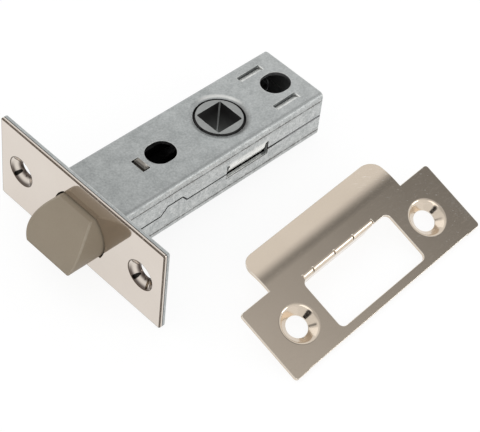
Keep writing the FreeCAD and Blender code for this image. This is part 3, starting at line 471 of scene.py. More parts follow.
def satin_nickel():
    """Nickel plate with a soft gloss, fine lengthwise lines, nicks, scuffed edges with a painted
    highlight and a painted dark line.
    """
    handled_start, handled_full = 54 * MM, 68 * MM
    material, shader = new_material("satin_nickel", metallic=1.0, roughness=0.16)
    tree = material.node_tree
    lines = place_group(
        material, SCRATCHES, Turn=(0, 0, math.radians(-2)), Fineness=7000.0, Rarity=0.60
    )
    nicks = place_group(
        material, SCRATCHES, Turn=(0, 0, math.radians(38)), Fineness=4200.0, Length=0.10,
        Rarity=0.645,
    )
    cloud = place_group(material, MOTTLE, Patch_Scale=90.0, Grain_Share=0.2, Contrast=1.3)
    scuffs = place_group(
        material, MOTTLE, Patch_Scale=140.0, Grain_Scale=3600.0, Grain_Share=0.45, Contrast=3.2
    )
    edge_scuffs_and_light = place_group(material, EDGE_LIGHT_AND_WEAR, Amount=0.60, Break_Up=25.0)
    deep = place_group(material, PAINTED_SHADE)
    handled = map_range(
        tree, place_axes(tree)["X"], handled_start, handled_full, low=0.05, high=0.85, smooth=True
    )
    brightened = map_range(tree, scuffs["Mask"], 0.80, 1.0, low=0.0, high=0.45)
    marks = calculate(
        tree, "MAXIMUM", multiply(tree, nicks["Mask"], handled), multiply(tree, brightened, handled)
    )
    base = mix_colours(material, cloud["Mask"], STRIKE_NICKEL, STRIKE_NICKEL_LIGHT)
    marked = mix_colours(material, marks, base, STRIKE_EDGE)
    edged = mix_colours(material, edge_scuffs_and_light["Mask"], marked, STRIKE_EDGE)
    shaded = mix_colours(material, deep["Mask"], edged, TRIM_EDGE)
    tree.links.new(shaded, shader.inputs["Base Color"])
    fine = map_range(tree, lines["Mask"], 0, 1, low=0.13, high=0.24)
    rough = calculate(tree, "MAXIMUM", fine, multiply(tree, marks, 0.35))
    tree.links.new(rough, shader.inputs["Roughness"])
    add_bump(material, shader, lines["Height"], 0.5e-6)
    return material


def fold_marks(tree, place, cloud):
    """A broken dark line along the case's sides, where its sheet was folded, and stains by it."""
    line_half, line_end, stain_reach = 0.10 * MM, 0.26 * MM, 1.3 * MM
    outside = near_face(tree, place["Y"], CASE_HIGH.y, 0.08 * MM, 0.02 * MM)
    level = calculate(tree, "ABSOLUTE", place["Z"])
    away = calculate(tree, "ABSOLUTE", calculate(tree, "SUBTRACT", level, FOLD_LEVEL))
    line = multiply(
        tree, map_range(tree, away, line_half, line_end, low=1.0, high=0.0),
        map_range(tree, cloud, 0.20, 0.55, low=0.40, high=1.0),
    )
    stain = multiply(
        tree, map_range(tree, cloud, 0.52, 0.78, low=0.0, high=0.75),
        map_range(tree, away, 0.0, stain_reach, low=0.85, high=0.0),
    )
    return multiply(tree, calculate(tree, "MAXIMUM", line, stain), outside)


def crimp_highlight(tree, place):
    """A painted highlight on the outer side over the crimps' tongues, which are pressed in."""
    along = band(
        tree, place["X"], CRIMP_START + 0.3 * MM, CRIMP_START + 0.7 * MM,
        CRIMP_END - 0.7 * MM, CRIMP_END - 0.3 * MM,
    )
    level = band(
        tree, place["Z"], CRIMP_TIP - 0.65 * MM, CRIMP_TIP - 0.55 * MM,
        CRIMP_TOP, CRIMP_TOP + 1.1 * MM, smooth_end=True,
    )
    outside = near_face(tree, place["Y"], CASE_HIGH.y, 1.6 * MM, 1.5 * MM)
    return multiply(tree, along, level, outside)


def dished_rim(tree, place):
    """The dish in the case round the follower: its height, and its painted highlight and shade.

    It is low by the bore and level further out. On the upper half its rear left takes a painted
    highlight and its rear right painted shade.
    """
    bright_strength, dull_strength, upper_start = 0.80, 0.65, 5.0 * MM
    back = calculate(tree, "SUBTRACT", place["X"], SPINDLE)
    radius = length_of(tree, back, place["Y"])
    height = map_range(tree, radius, DISH_INNER, DISH_OUTER, smooth=True)
    ring = band(
        tree, radius, FOLLOWER_BORE + 0.35 * MM, FOLLOWER_BORE + 0.75 * MM,
        DISH_OUTER - 0.55 * MM, DISH_OUTER + 0.1 * MM,
    )
    inner = map_range(tree, radius, FOLLOWER_BORE + 0.2 * MM, DISH_OUTER, low=1.0, high=0.0)
    left = calculate(tree, "DIVIDE", calculate(tree, "ADD", back, place["Y"]), radius)
    right = calculate(tree, "DIVIDE", calculate(tree, "SUBTRACT", back, place["Y"]), radius)
    bright = multiply(tree, ring, map_range(tree, left, 0.75, 1.35, smooth=True))
    dull = multiply(tree, inner, map_range(tree, right, 0.5, 1.3, smooth=True))
    upper = map_range(tree, place["Z"], 0.0, upper_start)
    return (
        height,
        multiply(tree, bright, upper, bright_strength),
        multiply(tree, dull, upper, dull_strength),
    )


def case_marks(material, place, base, cloud, blooms):
    """The case's colour with its marks and painted light and shade, and the dish's height round the
    follower.
    """
    tree = material.node_tree
    sides = near_face(tree, place["Y"], CASE_HIGH.y, 0.5 * MM, 0.02 * MM)
    flats = near_face(tree, place["Z"], CASE_HIGH.z, 0.9 * MM, 0.1 * MM)
    bloom = map_range(tree, blooms, 0.2, 0.9, low=0.0, high=0.70)
    strip_patches = map_range(tree, blooms, 0.0, 0.8, low=0.45, high=0.95)
    # Painted shade where the case meets the forend plate.
    contact_shade = map_range(tree, place["X"], FOREND_BACK, FOREND_BACK + 1.2 * MM, low=0.5, high=0.0)
    # The top is painted darker at the front and lighter at the rear, as a fall of light along the
    # case.
    front_shade = map_range(tree, place["X"], 2 * MM, SPINDLE, low=0.15, high=0.0)
    rear_light = map_range(tree, place["X"], SPINDLE, 75 * MM, low=0.0, high=0.17)
    height, bright, dull = dished_rim(tree, place)
    for mask, colour in (
        (multiply(tree, bloom, sides), ZINC_BLOOM_AND_LIGHT),
        (multiply(tree, crimp_highlight(tree, place), strip_patches), ZINC_EDGE),
        (fold_marks(tree, place, cloud), ZINC_GRIME_AND_SHADE),
        (multiply(tree, contact_shade, cloud), ZINC_GRIME_AND_SHADE),
        (multiply(tree, front_shade, flats), ZINC_GRIME_AND_SHADE),
        (multiply(tree, rear_light, flats), ZINC_BLOOM_AND_LIGHT),
        (bright, ZINC_EDGE),
        (dull, ZINC_GRIME_AND_SHADE),
    ):
        base = mix_colours(material, mask, base, colour)
    return base, height


def zinc_plate(name, edge_amount, marked):
    """Dull zinc plate: faint clouds, a fine grain, a few dark specks, the case's marks, and painted
    light and shade.
    """
    pale_inside_start, pale_inside_full = 55 * MM, 59 * MM
    material, shader = new_material(name, metallic=0.7, roughness=0.42)
    tree = material.node_tree
    cloud = place_group(
        material, MOTTLE, Patch_Scale=300.0, Grain_Scale=2300.0, Grain_Share=0.58, Contrast=3.4
    )
    edge_scuffs_and_light = place_group(material, EDGE_LIGHT_AND_WEAR, Amount=edge_amount)
    deep = place_group(material, PAINTED_SHADE)
    specks = place_group(material, SPECKS, Spacing=150.0, Size=0.028)
    place = place_axes(tree)
    base = mix_colours(material, cloud["Mask"], ZINC_DARK, ZINC_LIGHT)
    under = None
    if marked:
        blooms = place_group(
            material, MOTTLE, Patch_Scale=900.0, Grain_Scale=2800.0, Grain_Share=0.5,
            Contrast=3.2,
        )
        base, height = case_marks(material, place, base, cloud["Mask"], blooms["Mask"])
        under = add_bump(material, shader, height, DISH_DEPTH)
    base = mix_colours(material, specks["Mask"], base, ZINC_GRIME_AND_SHADE)
    # Painted shade inside the case, lighter towards the rear.
    rear = map_range(tree, place["X"], pale_inside_start, pale_inside_full)
    hollow = mix_colours(material, rear, INSIDE_SHADE, INSIDE_REAR_SHADE)
    shaded = mix_colours(material, deep["Mask"], base, hollow)
    edged = mix_colours(material, edge_scuffs_and_light["Mask"], shaded, ZINC_EDGE)
    tree.links.new(edged, shader.inputs["Base Color"])
    spread_roughness(tree, shader, cloud["Mask"], low=0.50, high=0.36)
    add_bump(material, shader, cloud["Height"], 12e-6, under)
    return material


def key_marks(material, base):
    """A key's colour in its slot: painted shade along its front and right, and a painted highlight
    inside them.
    """
    front_end, right_end = KEY_FRONT + 0.62 * MM, 0.60 * MM - KEY_HALF
    tree = material.node_tree
    place = place_axes(tree)
    shown = near_face(tree, place["Z"], CASE_HIGH.z, 0.9 * MM, 0.7 * MM)
    front = map_range(tree, place["X"], KEY_FRONT, front_end, low=0.95, high=0.0, smooth=True)
    right = map_range(tree, place["Y"], -KEY_HALF, right_end, low=0.9, high=0.0, smooth=True)
    dark = multiply(tree, calculate(tree, "MAXIMUM", front, right), shown)
    across = map_range(tree, place["Y"], 1.6 * MM - KEY_HALF, 0.7 * MM - KEY_HALF)
    behind = map_range(tree, place["X"], KEY_FRONT + 0.6 * MM, KEY_FRONT + 0.95 * MM)
    base = mix_colours(material, multiply(tree, across, behind, shown), base, KEY_WORN_AND_LIT)
    return mix_colours(material, dark, base, KEY_SHADE)


def hub_masks(tree, cloud, deep, edge_scuffs_and_light):
    """The follower's painted shade, and its scuffed edges with a painted highlight. Its hole is
    lighter low down, where light comes in.
    """
    up = place_axes(tree)["Z"]
    fade = map_range(tree, up, -5.0 * MM, 5.5 * MM, low=0.05, high=1.10, smooth=True)
    low = map_range(tree, up, -4.0 * MM, 6.5 * MM, low=1.0, high=0.12)
    blotch = map_range(tree, cloud, 0.25, 0.75, low=0.35, high=1.0)
    top = map_range(tree, up, 6.6 * MM, 6.7 * MM)
    rub_and_highlight = calculate(tree, "MAXIMUM", multiply(tree, low, blotch), top)
    return calculate(tree, "MULTIPLY", deep, fade, clamp=True), multiply(tree, edge_scuffs_and_light, rub_and_highlight)


def cast_finish(name, colours, grain, depth, metallic, edge_amount=0.7, special=None):
    """A matte cast or moulded surface with a fine grain.

    colours holds its light, dark and edge colours; the edge colour is for scuffed edges and is also
    a painted highlight, and inside faces take painted shade. grain is the grain's scale and depth
    its height. special is "hub" or "key" for a finish with the marks of hub_masks or key_marks.
    """
    light, dark, edge = colours
    material, shader = new_material(name, metallic=metallic, roughness=0.55)
    tree = material.node_tree
    cloud = place_group(
        material, MOTTLE, Patch_Scale=180.0, Grain_Scale=grain, Grain_Share=0.5, Contrast=1.6
    )
    edge_scuffs_and_light = place_group(material, EDGE_LIGHT_AND_WEAR, Amount=edge_amount)["Mask"]
    deep = place_group(material, PAINTED_SHADE)["Mask"]
    base = mix_colours(material, cloud["Mask"], dark, light)
    if special == "key":
        base = key_marks(material, base)
    if special == "hub":
        deep, edge_scuffs_and_light = hub_masks(tree, cloud["Mask"], deep, edge_scuffs_and_light)
    shaded = mix_colours(material, deep, base, INSIDE_SHADE)
    tree.links.new(mix_colours(material, edge_scuffs_and_light, shaded, edge), shader.inputs["Base Color"])
    spread_roughness(tree, shader, cloud["Mask"], low=0.62, high=0.48)
    add_bump(material, shader, cloud["Height"], depth)
    return material


TRIM_FINISH = polished_nickel()
STRIKE_FINISH = satin_nickel()
CASE_FINISH = zinc_plate("zinc_plate", edge_amount=0.42, marked=True)
FOREND_FINISH = zinc_plate("forend_zinc", edge_amount=0.40, marked=False)
BOLT_FINISH = cast_finish(
    "bolt_metal", (BOLT_TAUPE, BOLT_TAUPE_DARK, BOLT_WORN_AND_LIT),
    grain=3000.0, depth=3e-6, metallic=0.0,
)
HUB_FINISH = cast_finish(
    "follower_metal", (HUB_LIGHT, HUB_DARK, HUB_WORN_AND_LIT),
    grain=3000.0, depth=8e-6, metallic=0.6, special="hub",
)
SEAT_FINISH = cast_finish(
    "seat_plastic", (KEY_BROWN, KEY_BROWN_DARK, KEY_WORN_AND_LIT),
    grain=2200.0, depth=6e-6, metallic=0.0, edge_amount=0.25, special="key",
)
WIRE_FINISH = cast_finish(
    "spring_wire", (WIRE_GREY, WIRE_DARK, WIRE_WORN), grain=5000.0, depth=1e-6, metallic=0.9
)
CARRIAGE_FINISH = cast_finish(
    "carriage_steel", (CARRIAGE_STEEL, CARRIAGE_STEEL_DARK, CARRIAGE_WORN),
    grain=2600.0, depth=4e-6, metallic=0.8,
)


# Pieces.

def merged_copy(node, cuts):
    """A CAD node's mesh as one connected surface, with its flat faces joined.

    cuts holds (point, normal) planes. A flat face with openings in it is parted along them, so
    that each part is a simple outline.
    """
    surface = bmesh.new()
    surface.from_mesh(NODES[node].data)
    bmesh.ops.remove_doubles(surface, verts=surface.verts, dist=WELD_REACH)
    for point, normal in cuts:
        made = bmesh.ops.bisect_plane(
            surface, geom=surface.verts[:] + surface.edges[:] + surface.faces[:],
            dist=CUT_REACH, plane_co=point, plane_no=normal,
        )
        for part in made["geom_cut"]:
            if isinstance(part, bmesh.types.BMEdge):
                part.seam = True
    bmesh.ops.dissolve_limit(
        surface, angle_limit=FLAT_ANGLE, verts=surface.verts, edges=surface.edges,
        delimit={"SEAM"},
    )
    return surface


def middle_of(edge):
    """The middle of an edge."""
    return (edge.verts[0].co + edge.verts[1].co) / 2


def true_cups(piece, axis, centres, reach, depth):
    """Even shading on turned sinks: each corner's normal points exactly to or from the axis."""
    graph = bpy.context.evaluated_depsgraph_get()
    mesh = bpy.data.meshes.new_from_object(
        piece.evaluated_get(graph), preserve_all_data_layers=True, depsgraph=graph
    )
    normals = [corner.vector.copy() for corner in mesh.corner_normals]
    for loop in mesh.loops:
        place = mesh.vertices[loop.vertex_index].co
        for centre in centres:
            away = place - centre
            level = away.dot(axis)
            out = away - level * axis
            if abs(level) > depth or not 0 < out.length < reach:
                continue
            normal = normals[loop.index]
            rise = max(-1.0, min(1.0, normal.dot(axis)))
            side = math.copysign(math.sqrt(1 - rise * rise), normal.dot(out))
            normals[loop.index] = rise * axis + side * out.normalized()
    mesh.normals_split_custom_set(normals)
    mesh.name = piece.name
    piece.modifiers.clear()
    piece.data = mesh


def dress(
    node, name, body, finish, rules, cuts=(), painted_shade=None, brightened=None, shape=None, cups=()
):
    """A softened copy of a CAD node.

    rules holds (test, width, steps, mark) for its edges: the first test that an edge's middle
    passes sets how it is rounded. mark is "edge" for a scuffed edge that also takes painted
    light, "recess" for one in painted shade, "corner" for a painted highlight deep inside and
    "plain" for neither. recess says how much painted shade each face takes and rubbed how much
    painted highlight, and shape moves points before the edges are rounded. cups holds what
    true_cups asks for each set of turned sinks.
    """
    surface = merged_copy(node, cuts)
    if shape:
        for point in surface.verts:
            point.co = shape(point.co)
        surface.normal_update()
    marks = {mark: surface.faces.layers.float.new(mark) for mark in ("edge", "painted_shade")}
    if painted_shade:
        for face in surface.faces:
            face[marks["painted_shade"]] = painted_shade(face.calc_center_median(), face.normal)
    for test, width, steps, mark in rules:
        chosen = [
            edge for edge in surface.edges
            if len(edge.link_faces) == 2
            and edge.calc_face_angle(0) > SHARP_ANGLE
            and not any(face[marks["edge"]] for face in edge.link_faces)
            and (mark == "corner" or not all(face[marks["painted_shade"]] for face in edge.link_faces))
            and test(middle_of(edge))
        ]
        made = bmesh.ops.bevel(
            surface, geom=chosen, offset=width, offset_type="OFFSET", segments=steps,
            profile=0.5, affect="EDGES", clamp_overlap=False,
        )
        for face in made["faces"]:
            face[marks["edge"]] = float(mark in ("edge", "corner"))
            face[marks["painted_shade"]] = float(mark == "painted_shade")
    if brightened:
        for face in surface.faces:
            bright = brightened(face.calc_center_median(), face.normal)
            face[marks["edge"]] = max(face[marks["edge"]], bright)
    mesh = bpy.data.meshes.new(name)
    surface.to_mesh(mesh)
    surface.free()
    mesh.shade_smooth()
    mesh.set_sharp_from_angle(angle=SMOOTH_ANGLE)
    mesh.materials.append(finish)
    piece = bpy.data.objects.new(name, mesh)
    bpy.context.scene.collection.objects.link(piece)
    even = piece.modifiers.new("even_shading", "WEIGHTED_NORMAL")
    even.keep_sharp = True
    for turned in cups:
        true_cups(piece, *turned)
    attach(piece, body)
    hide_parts(node)


# Tests for edges, by their middles.

def anywhere(place):
    """Every edge."""
    return True


def ahead_of(limit):
    """A test for edges in front of a limit."""
    return lambda place: place.x < limit


def round_rings(centres, axis, radius):
    """A test for edges on circles, by their distance from the circles' centres."""
    depth, width = 0.3 * MM, 0.25 * MM

    def test(place):
        for centre in centres:
            level = (place - centre).dot(axis)
            out = (place - centre - level * axis).length
            if abs(level) < depth and abs(out - radius) < width:
                return True
        return False
    return test


def behind_trim(place):
    """The edges round the faceplate's back."""
    return abs(place.x - TRIM_BACK) < 0.1 * MM


def by_lance(place):
    """Places round the two lanced strips."""
    return (
        place.z > CASE_HIGH.z - LANCE_DEPTH
        and LANCE_START - 0.3 * MM < place.x < LANCE_END + 0.3 * MM
        and abs(abs(place.y) - LANCE_ASIDE) < 1.3 * MM
    )


def lance_root(place):
    """The edges round the rear end of the lanced strips."""
    return (
        place.z > CASE_HIGH.z - 1.2 * MM
        and LANCE_END - 0.7 * MM < place.x < LANCE_END + 0.3 * MM
        and abs(abs(place.y) - LANCE_ASIDE) < 1.2 * MM
    )


def on_seam(place):
    """The edges where the two halves meet along the outer sides."""
    return abs(place.y) > CASE_HIGH.y - 0.15 * MM and SEAM_LOW < place.z < SEAM_HIGH


def rear_seam(place):
    """The seam behind the crimps, which gapes more."""
    return on_seam(place) and place.x > CRIMP_END + 3.0 * MM


def by_bore(place):
    """The edge of the case's bore for the follower."""
    away = Vector((place.x - SPINDLE, place.y))
    return away.length < FOLLOWER_BORE + 0.2 * MM and abs(place.z) > CASE_HIGH.z - 0.6 * MM


def square_corner(place):
    """The upright corners of the follower's square hole."""
    sides = (abs(place.x - SPINDLE), abs(place.y))
    return all(abs(side - SQUARE_HALF) < 0.05 * MM for side in sides)


def key_rim(place):
    """The edges of the slopes round the tops of the seat's keys."""
    return abs(place.z) > KEY_TOP - 0.6 * MM


def strike_underside(place):
    """The lower edges of the strike's flat part."""
    away = place - STRIKE_MIDDLE
    level, aside = away.dot(STRIKE_UP), away.dot(STRIKE_ACROSS)
    return -1.6 * MM < level < -0.6 * MM and aside < 9.8 * MM


# Painted shade and painted highlights on faces, by their middles and normals.

def inside_case(place, normal):
    """Painted shade on the case's inside faces and the walls of its openings."""
    nearly_inside = 0.93 * SHEET
    if place.x > CASE_HIGH.x - 0.5 * SHEET:
        return 0.0
    if by_lance(place) and normal.z > -0.3:
        return 0.35 if place.x < LANCE_START + 0.5 * MM else 0.0
    within = abs(place.y) < CASE_HIGH.y - nearly_inside
    deep = abs(place.z) < CASE_HIGH.z - nearly_inside
    wall = abs(normal.z) < 0.5 and abs(place.y) < CASE_HIGH.y - 2 * SHEET
    return float((within and deep) or wall)


def inside_hub(place, normal):
    """Painted shade on the follower's sides below its ends, and a little less on the walls of its
    square.
    """
    if abs(normal.z) > 0.9 and abs(place.z) > HUB_TOP - 0.3 * MM:
        return 0.0
    in_square = max(abs(place.x - SPINDLE), abs(place.y)) < SQUARE_HALF + 0.1 * MM
    return 0.92 if in_square else 1.0


def strike_side(place, normal):
    """The strike's long outer side, which takes a painted dark line."""
    aside = (place - STRIKE_MIDDLE).dot(STRIKE_ACROSS)
    return 0.45 if aside < -6 * MM and normal.dot(STRIKE_ACROSS) < -0.9 else 0.0


def pressed_faces(place, normal):
    """Painted highlights on the lanced strips and the ends behind them, and on the tongues pressed
    in at the crimps.
    """
    if by_lance(place) and place.z < CASE_HIGH.z - 0.05 * MM:
        if normal.x < -0.5 and place.x > LANCE_END - 0.1 * MM:
            return 2.6
        return 1.7 if normal.z > 0.6 and normal.y > 0.2 else 0.0
    along = CRIMP_START + 0.5 * MM < place.x < CRIMP_END - 0.5 * MM
    pressed = CASE_HIGH.y - CRIMP_DEPTH < abs(place.y) < CASE_HIGH.y - 0.03 * MM
    facing = normal.y * place.y > 0 and abs(normal.y) > 0.5
    return 3.0 if along and pressed and facing and place.z < CRIMP_TOP + 0.1 * MM else 0.0


# Where points are moved to.

def longer_tongue(place):
    """The crimps' tongues, drawn down and in until they nearly close their notches."""
    drawn_down, drawn_in = 0.5 * MM, 0.15 * MM
    at_tip = (
        place.z < CRIMP_TIP + 0.1 * MM
        and CRIMP_START < place.x < CRIMP_END
        and CASE_HIGH.y - CRIMP_DEPTH < abs(place.y) < CASE_HIGH.y - 0.9 * MM
    )
    if at_tip:
        aside = place.y - math.copysign(drawn_in, place.y)
        return Vector((place.x, aside, CRIMP_TIP - drawn_down))
    return place


def raised_key(place):
    """The seat's keys, standing a little proud of their slots, with broad slopes round the top."""
    top_half, slope_across, slope_height = 0.27 * MM, 0.65 * MM, 0.45 * MM
    level = abs(place.z)
    if level < CASE_HIGH.z - 0.9 * SHEET:
        return place
    if level < CASE_HIGH.z - 0.5 * SHEET:
        return Vector((place.x, place.y, math.copysign(KEY_TOP - slope_height, place.z)))
    return Vector((
        KEY_MIDDLE + math.copysign(top_half, place.x - KEY_MIDDLE),
        math.copysign(KEY_HALF - slope_across, place.y),
        math.copysign(KEY_TOP, place.z),
    ))


dress(
    "faceplate_trim", "polished_trim", "case", TRIM_FINISH,
    [
        (round_rings(TRIM_CENTRES, ALONG, TRIM_SINK), 0.14 * MM, 3, "edge"),
        (behind_trim, 0.09 * MM, 2, "painted_shade"),
        (ahead_of(0.3 * MM), 0.13 * MM, 2, "edge"),
        (anywhere, 0.10 * MM, 2, "plain"),
    ],
    cuts=[(Vector(), UPWARD)],
    cups=[(ALONG, TRIM_CENTRES, TRIM_SINK + 0.3 * MM, 3.0 * MM)],
)
dress(
    "forend_plate", "backing_plate", "case", FOREND_FINISH,
    [
        (ahead_of(TRIM_BACK + 0.1 * MM), 0.09 * MM, 2, "painted_shade"),
        (anywhere, 0.10 * MM, 2, "edge"),
    ],
    cuts=[
        (Vector(), UPWARD),
        (Vector((0, SLOT_ASIDE, 0)), ACROSS),
        (Vector((0, -SLOT_ASIDE, 0)), ACROSS),
    ],
)
dress(
    "case_upper", "upper_shell", "case", CASE_FINISH,
    [
        # The lanced strips' rear ends take a painted highlight.
        (lance_root, 0.30 * MM, 3, "edge"),
        (by_lance, 0.06 * MM, 1, "painted_shade"),
        (rear_seam, 0.27 * MM, 2, "painted_shade"),
        (on_seam, 0.16 * MM, 2, "painted_shade"),
        (by_bore, 0.14 * MM, 2, "painted_shade"),
        (anywhere, 0.10 * MM, 2, "edge"),
    ],
    cuts=[
        (Vector(), ACROSS),
        (Vector((0, LANCE_ASIDE, 0)), ACROSS),
        (Vector((0, -LANCE_ASIDE, 0)), ACROSS),
    ],
    painted_shade=inside_case,
    brightened=pressed_faces,
    shape=longer_tongue,
)
dress(
    "case_lower", "lower_shell", "case", CASE_FINISH,
    [
        (rear_seam, 0.27 * MM, 2, "painted_shade"),
        (on_seam, 0.16 * MM, 2, "painted_shade"),
        (by_bore, 0.14 * MM, 2, "painted_shade"),
        (anywhere, 0.10 * MM, 2, "edge"),
    ],
    cuts=[(Vector(), ACROSS)],
    painted_shade=inside_case,
)
dress(
    "latch_bolt", "bevelled_bolt", "bolt", BOLT_FINISH,
    [(ahead_of(4 * MM), 0.38 * MM, 4, "edge"), (anywhere, 0.15 * MM, 2, "edge")],
    cuts=[(Vector(), UPWARD)],
)
dress(
    "follower", "cam_hub", "follower", HUB_FINISH,
    [
        # The square's upright corners take a painted highlight.
        (square_corner, 0.32 * MM, 4, "corner"),
        (by_bore, 0.10 * MM, 2, "painted_shade"),
        (anywhere, 0.10 * MM, 2, "edge"),
    ],
    cuts=[(HUB_MIDDLE, ALONG), (HUB_MIDDLE, ACROSS)],
    painted_shade=inside_hub,
)
dress(
    "spring_seat", "keyed_seat", "case", SEAT_FINISH,
    [(key_rim, 0.12 * MM, 3, "edge"), (anywhere, 0.12 * MM, 2, "edge")],
    shape=raised_key,
)
dress(
    "strike_plate", "strike", "case", STRIKE_FINISH,
    [
        (round_rings(STRIKE_CENTRES, STRIKE_UP, STRIKE_SINK), 0.40 * MM, 4, "plain"),
        (strike_underside, 0.16 * MM, 2, "plain"),
        (anywhere, 0.14 * MM, 2, "edge"),
    ],
    cuts=[(STRIKE_MIDDLE, STRIKE_ACROSS)],
    painted_shade=strike_side,
    cups=[(STRIKE_UP, STRIKE_CENTRES, STRIKE_SINK + 0.5 * MM, 4.0 * MM)],
)

NODES["bolt_carriage"].data.materials.clear()
NODES["bolt_carriage"].data.materials.append(CARRIAGE_FINISH)


# Springs.

def make_coil_tree():
    """A coil of round wire along X, from its radius, wire, length and turns."""
    tree = bpy.data.node_groups.new("coil", "GeometryNodeTree")
    for label, kind in (
        ("Radius", "NodeSocketFloat"), ("Wire", "NodeSocketFloat"),
        ("Length", "NodeSocketFloat"), ("Turns", "NodeSocketFloat"),
        ("Place", "NodeSocketVector"), ("Finish", "NodeSocketMaterial"),
    ):
        tree.interface.new_socket(label, in_out="INPUT", socket_type=kind)
    tree.interface.new_socket("Geometry", in_out="OUTPUT", socket_type="NodeSocketGeometry")
    nodes, links = tree.nodes, tree.links
    start, end = nodes.new("NodeGroupInput"), nodes.new("NodeGroupOutput")
    spiral = nodes.new("GeometryNodeCurveSpiral")
    spiral.inputs["Resolution"].default_value = 24
    links.new(start.outputs["Turns"], spiral.inputs["Rotations"])
    links.new(start.outputs["Radius"], spiral.inputs["Start Radius"])
    links.new(start.outputs["Radius"], spiral.inputs["End Radius"])
    links.new(start.outputs["Length"], spiral.inputs["Height"])
    section = nodes.new("GeometryNodeCurvePrimitiveCircle")
    section.inputs["Resolution"].default_value = 10
    links.new(start.outputs["Wire"], section.inputs["Radius"])
    wire = nodes.new("GeometryNodeCurveToMesh")
    wire.inputs["Fill Caps"].default_value = True
    links.new(spiral.outputs["Curve"], wire.inputs["Curve"])
    links.new(section.outputs["Curve"], wire.inputs["Profile Curve"])
    laid = nodes.new("GeometryNodeTransform")
    laid.inputs["Rotation"].default_value = (0, math.radians(90), 0)
    links.new(wire.outputs["Mesh"], laid.inputs["Geometry"])
    links.new(start.outputs["Place"], laid.inputs["Translation"])
    smooth = nodes.new("GeometryNodeSetShadeSmooth")
    links.new(laid.outputs["Geometry"], smooth.inputs["Geometry"])
    real = nodes.new("GeometryNodeRealizeInstances")
    links.new(smooth.outputs["Geometry"], real.inputs["Geometry"])
    finish = nodes.new("GeometryNodeSetMaterial")
    links.new(real.outputs["Geometry"], finish.inputs["Geometry"])
    links.new(start.outputs["Finish"], finish.inputs["Material"])
    links.new(finish.outputs["Geometry"], end.inputs["Geometry"])
    return tree


def wind_spring(tree, node, name, wire, turns):
    """A smooth spring in the place of a CAD one."""
    low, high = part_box(node)
    length = high.x - low.x
    values = {
        "Radius": (high.y - low.y - wire) / 2, "Wire": wire / 2,
        "Length": length - wire, "Turns": turns,
        "Place": (low.x + wire / 2, (low.y + high.y) / 2, 0.0), "Finish": WIRE_FINISH,
    }
    source = bpy.data.objects.new(f"{name}_source", bpy.data.meshes.new(f"{name}_source"))
    bpy.context.scene.collection.objects.link(source)
    modifier = source.modifiers.new("coil", "NODES")
    modifier.node_group = tree
    for item in tree.interface.items_tree:
        if item.in_out == "INPUT":
            modifier[item.identifier] = values[item.name]
    graph = bpy.context.evaluated_depsgraph_get()
    mesh = bpy.data.meshes.new_from_object(source.evaluated_get(graph), depsgraph=graph)
    bpy.data.objects.remove(source)
    mesh.name = name
    piece = bpy.data.objects.new(name, mesh)
    bpy.context.scene.collection.objects.link(piece)
    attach(piece, "case")
    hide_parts(node)
    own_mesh(piece)


COIL = make_coil_tree()
wind_spring(COIL, "bolt_spring", "bolt_coil", wire=0.7 * MM, turns=7.0)
wind_spring(COIL, "return_spring_left", "return_coil_left", wire=0.6 * MM, turns=5.0)
wind_spring(COIL, "return_spring_right", "return_coil_right", wire=0.6 * MM, turns=5.0)


# Surface, light and camera.

def seen_share(tree):
    """1 where the camera, a reflection or clear glass looks, and 0 for scattered light."""
    path = tree.nodes.new("ShaderNodeLightPath")
    seen = calculate(tree, "MAXIMUM", path.outputs["Is Camera Ray"], path.outputs["Is Glossy Ray"])
    return calculate(tree, "MAXIMUM", seen, path.outputs["Is Transmission Ray"])


def lay_floor():
    """A large pale floor on the slope that the latch rests on, seen white with a faint shadow."""
    half_width, glow = 3.0, 0.87
    slope = Matrix.Rotation(-REST_SLOPE, 4, "Y")
    corners = [
        slope @ Vector((across * half_width, along * half_width, 0)) + PLATE_BOTTOM * UPWARD
        for across, along in ((-1, -1), (1, -1), (1, 1), (-1, 1))
    ]
    mesh = bpy.data.meshes.new("floor")
    mesh.from_pydata(corners, [], [(0, 1, 2, 3)])
    floor = bpy.data.objects.new("floor", mesh)
    bpy.context.scene.collection.objects.link(floor)
    material = bpy.data.materials.new("pale_floor")
    material.use_nodes = True
    tree = material.node_tree
    tree.nodes.clear()
    matte = tree.nodes.new("ShaderNodeBsdfDiffuse")
    matte.inputs["Color"].default_value = FLOOR_PALE
    shadowed = tree.nodes.new("ShaderNodeBsdfDiffuse")
    shadowed.inputs["Color"].default_value = FLOOR_SHADOWED
    white = tree.nodes.new("ShaderNodeEmission")
    white.inputs["Color"].default_value = WHITE
    white.inputs["Strength"].default_value = glow
    both = tree.nodes.new("ShaderNodeAddShader")
    tree.links.new(shadowed.outputs["BSDF"], both.inputs[0])
    tree.links.new(white.outputs["Emission"], both.inputs[1])
    mixed = tree.nodes.new("ShaderNodeMixShader")
    tree.links.new(seen_share(tree), mixed.inputs["Fac"])
    tree.links.new(matte.outputs["BSDF"], mixed.inputs[1])
    tree.links.new(both.outputs["Shader"], mixed.inputs[2])
    end = tree.nodes.new("ShaderNodeOutputMaterial")
    tree.links.new(mixed.outputs["Shader"], end.inputs["Surface"])
    mesh.materials.append(material)


# The sky is even, apart from a dim part of the ceiling on the -Y side. The light of that part
# falls off along X and Y, between two limits.
SKY_LIGHT = 0.93
SEEN_LIGHT = 1.0
CEILING_LIGHT = 1.298
CEILING_FALL_ALONG = 2.84
CEILING_FALL_ACROSS = 1.4
CEILING_DIMMEST = 0.22
CEILING_BRIGHTEST = 0.62
CEILING_HEIGHTS = (0.42, 0.80)
CEILING_SIDES = (-0.12, 0.22)

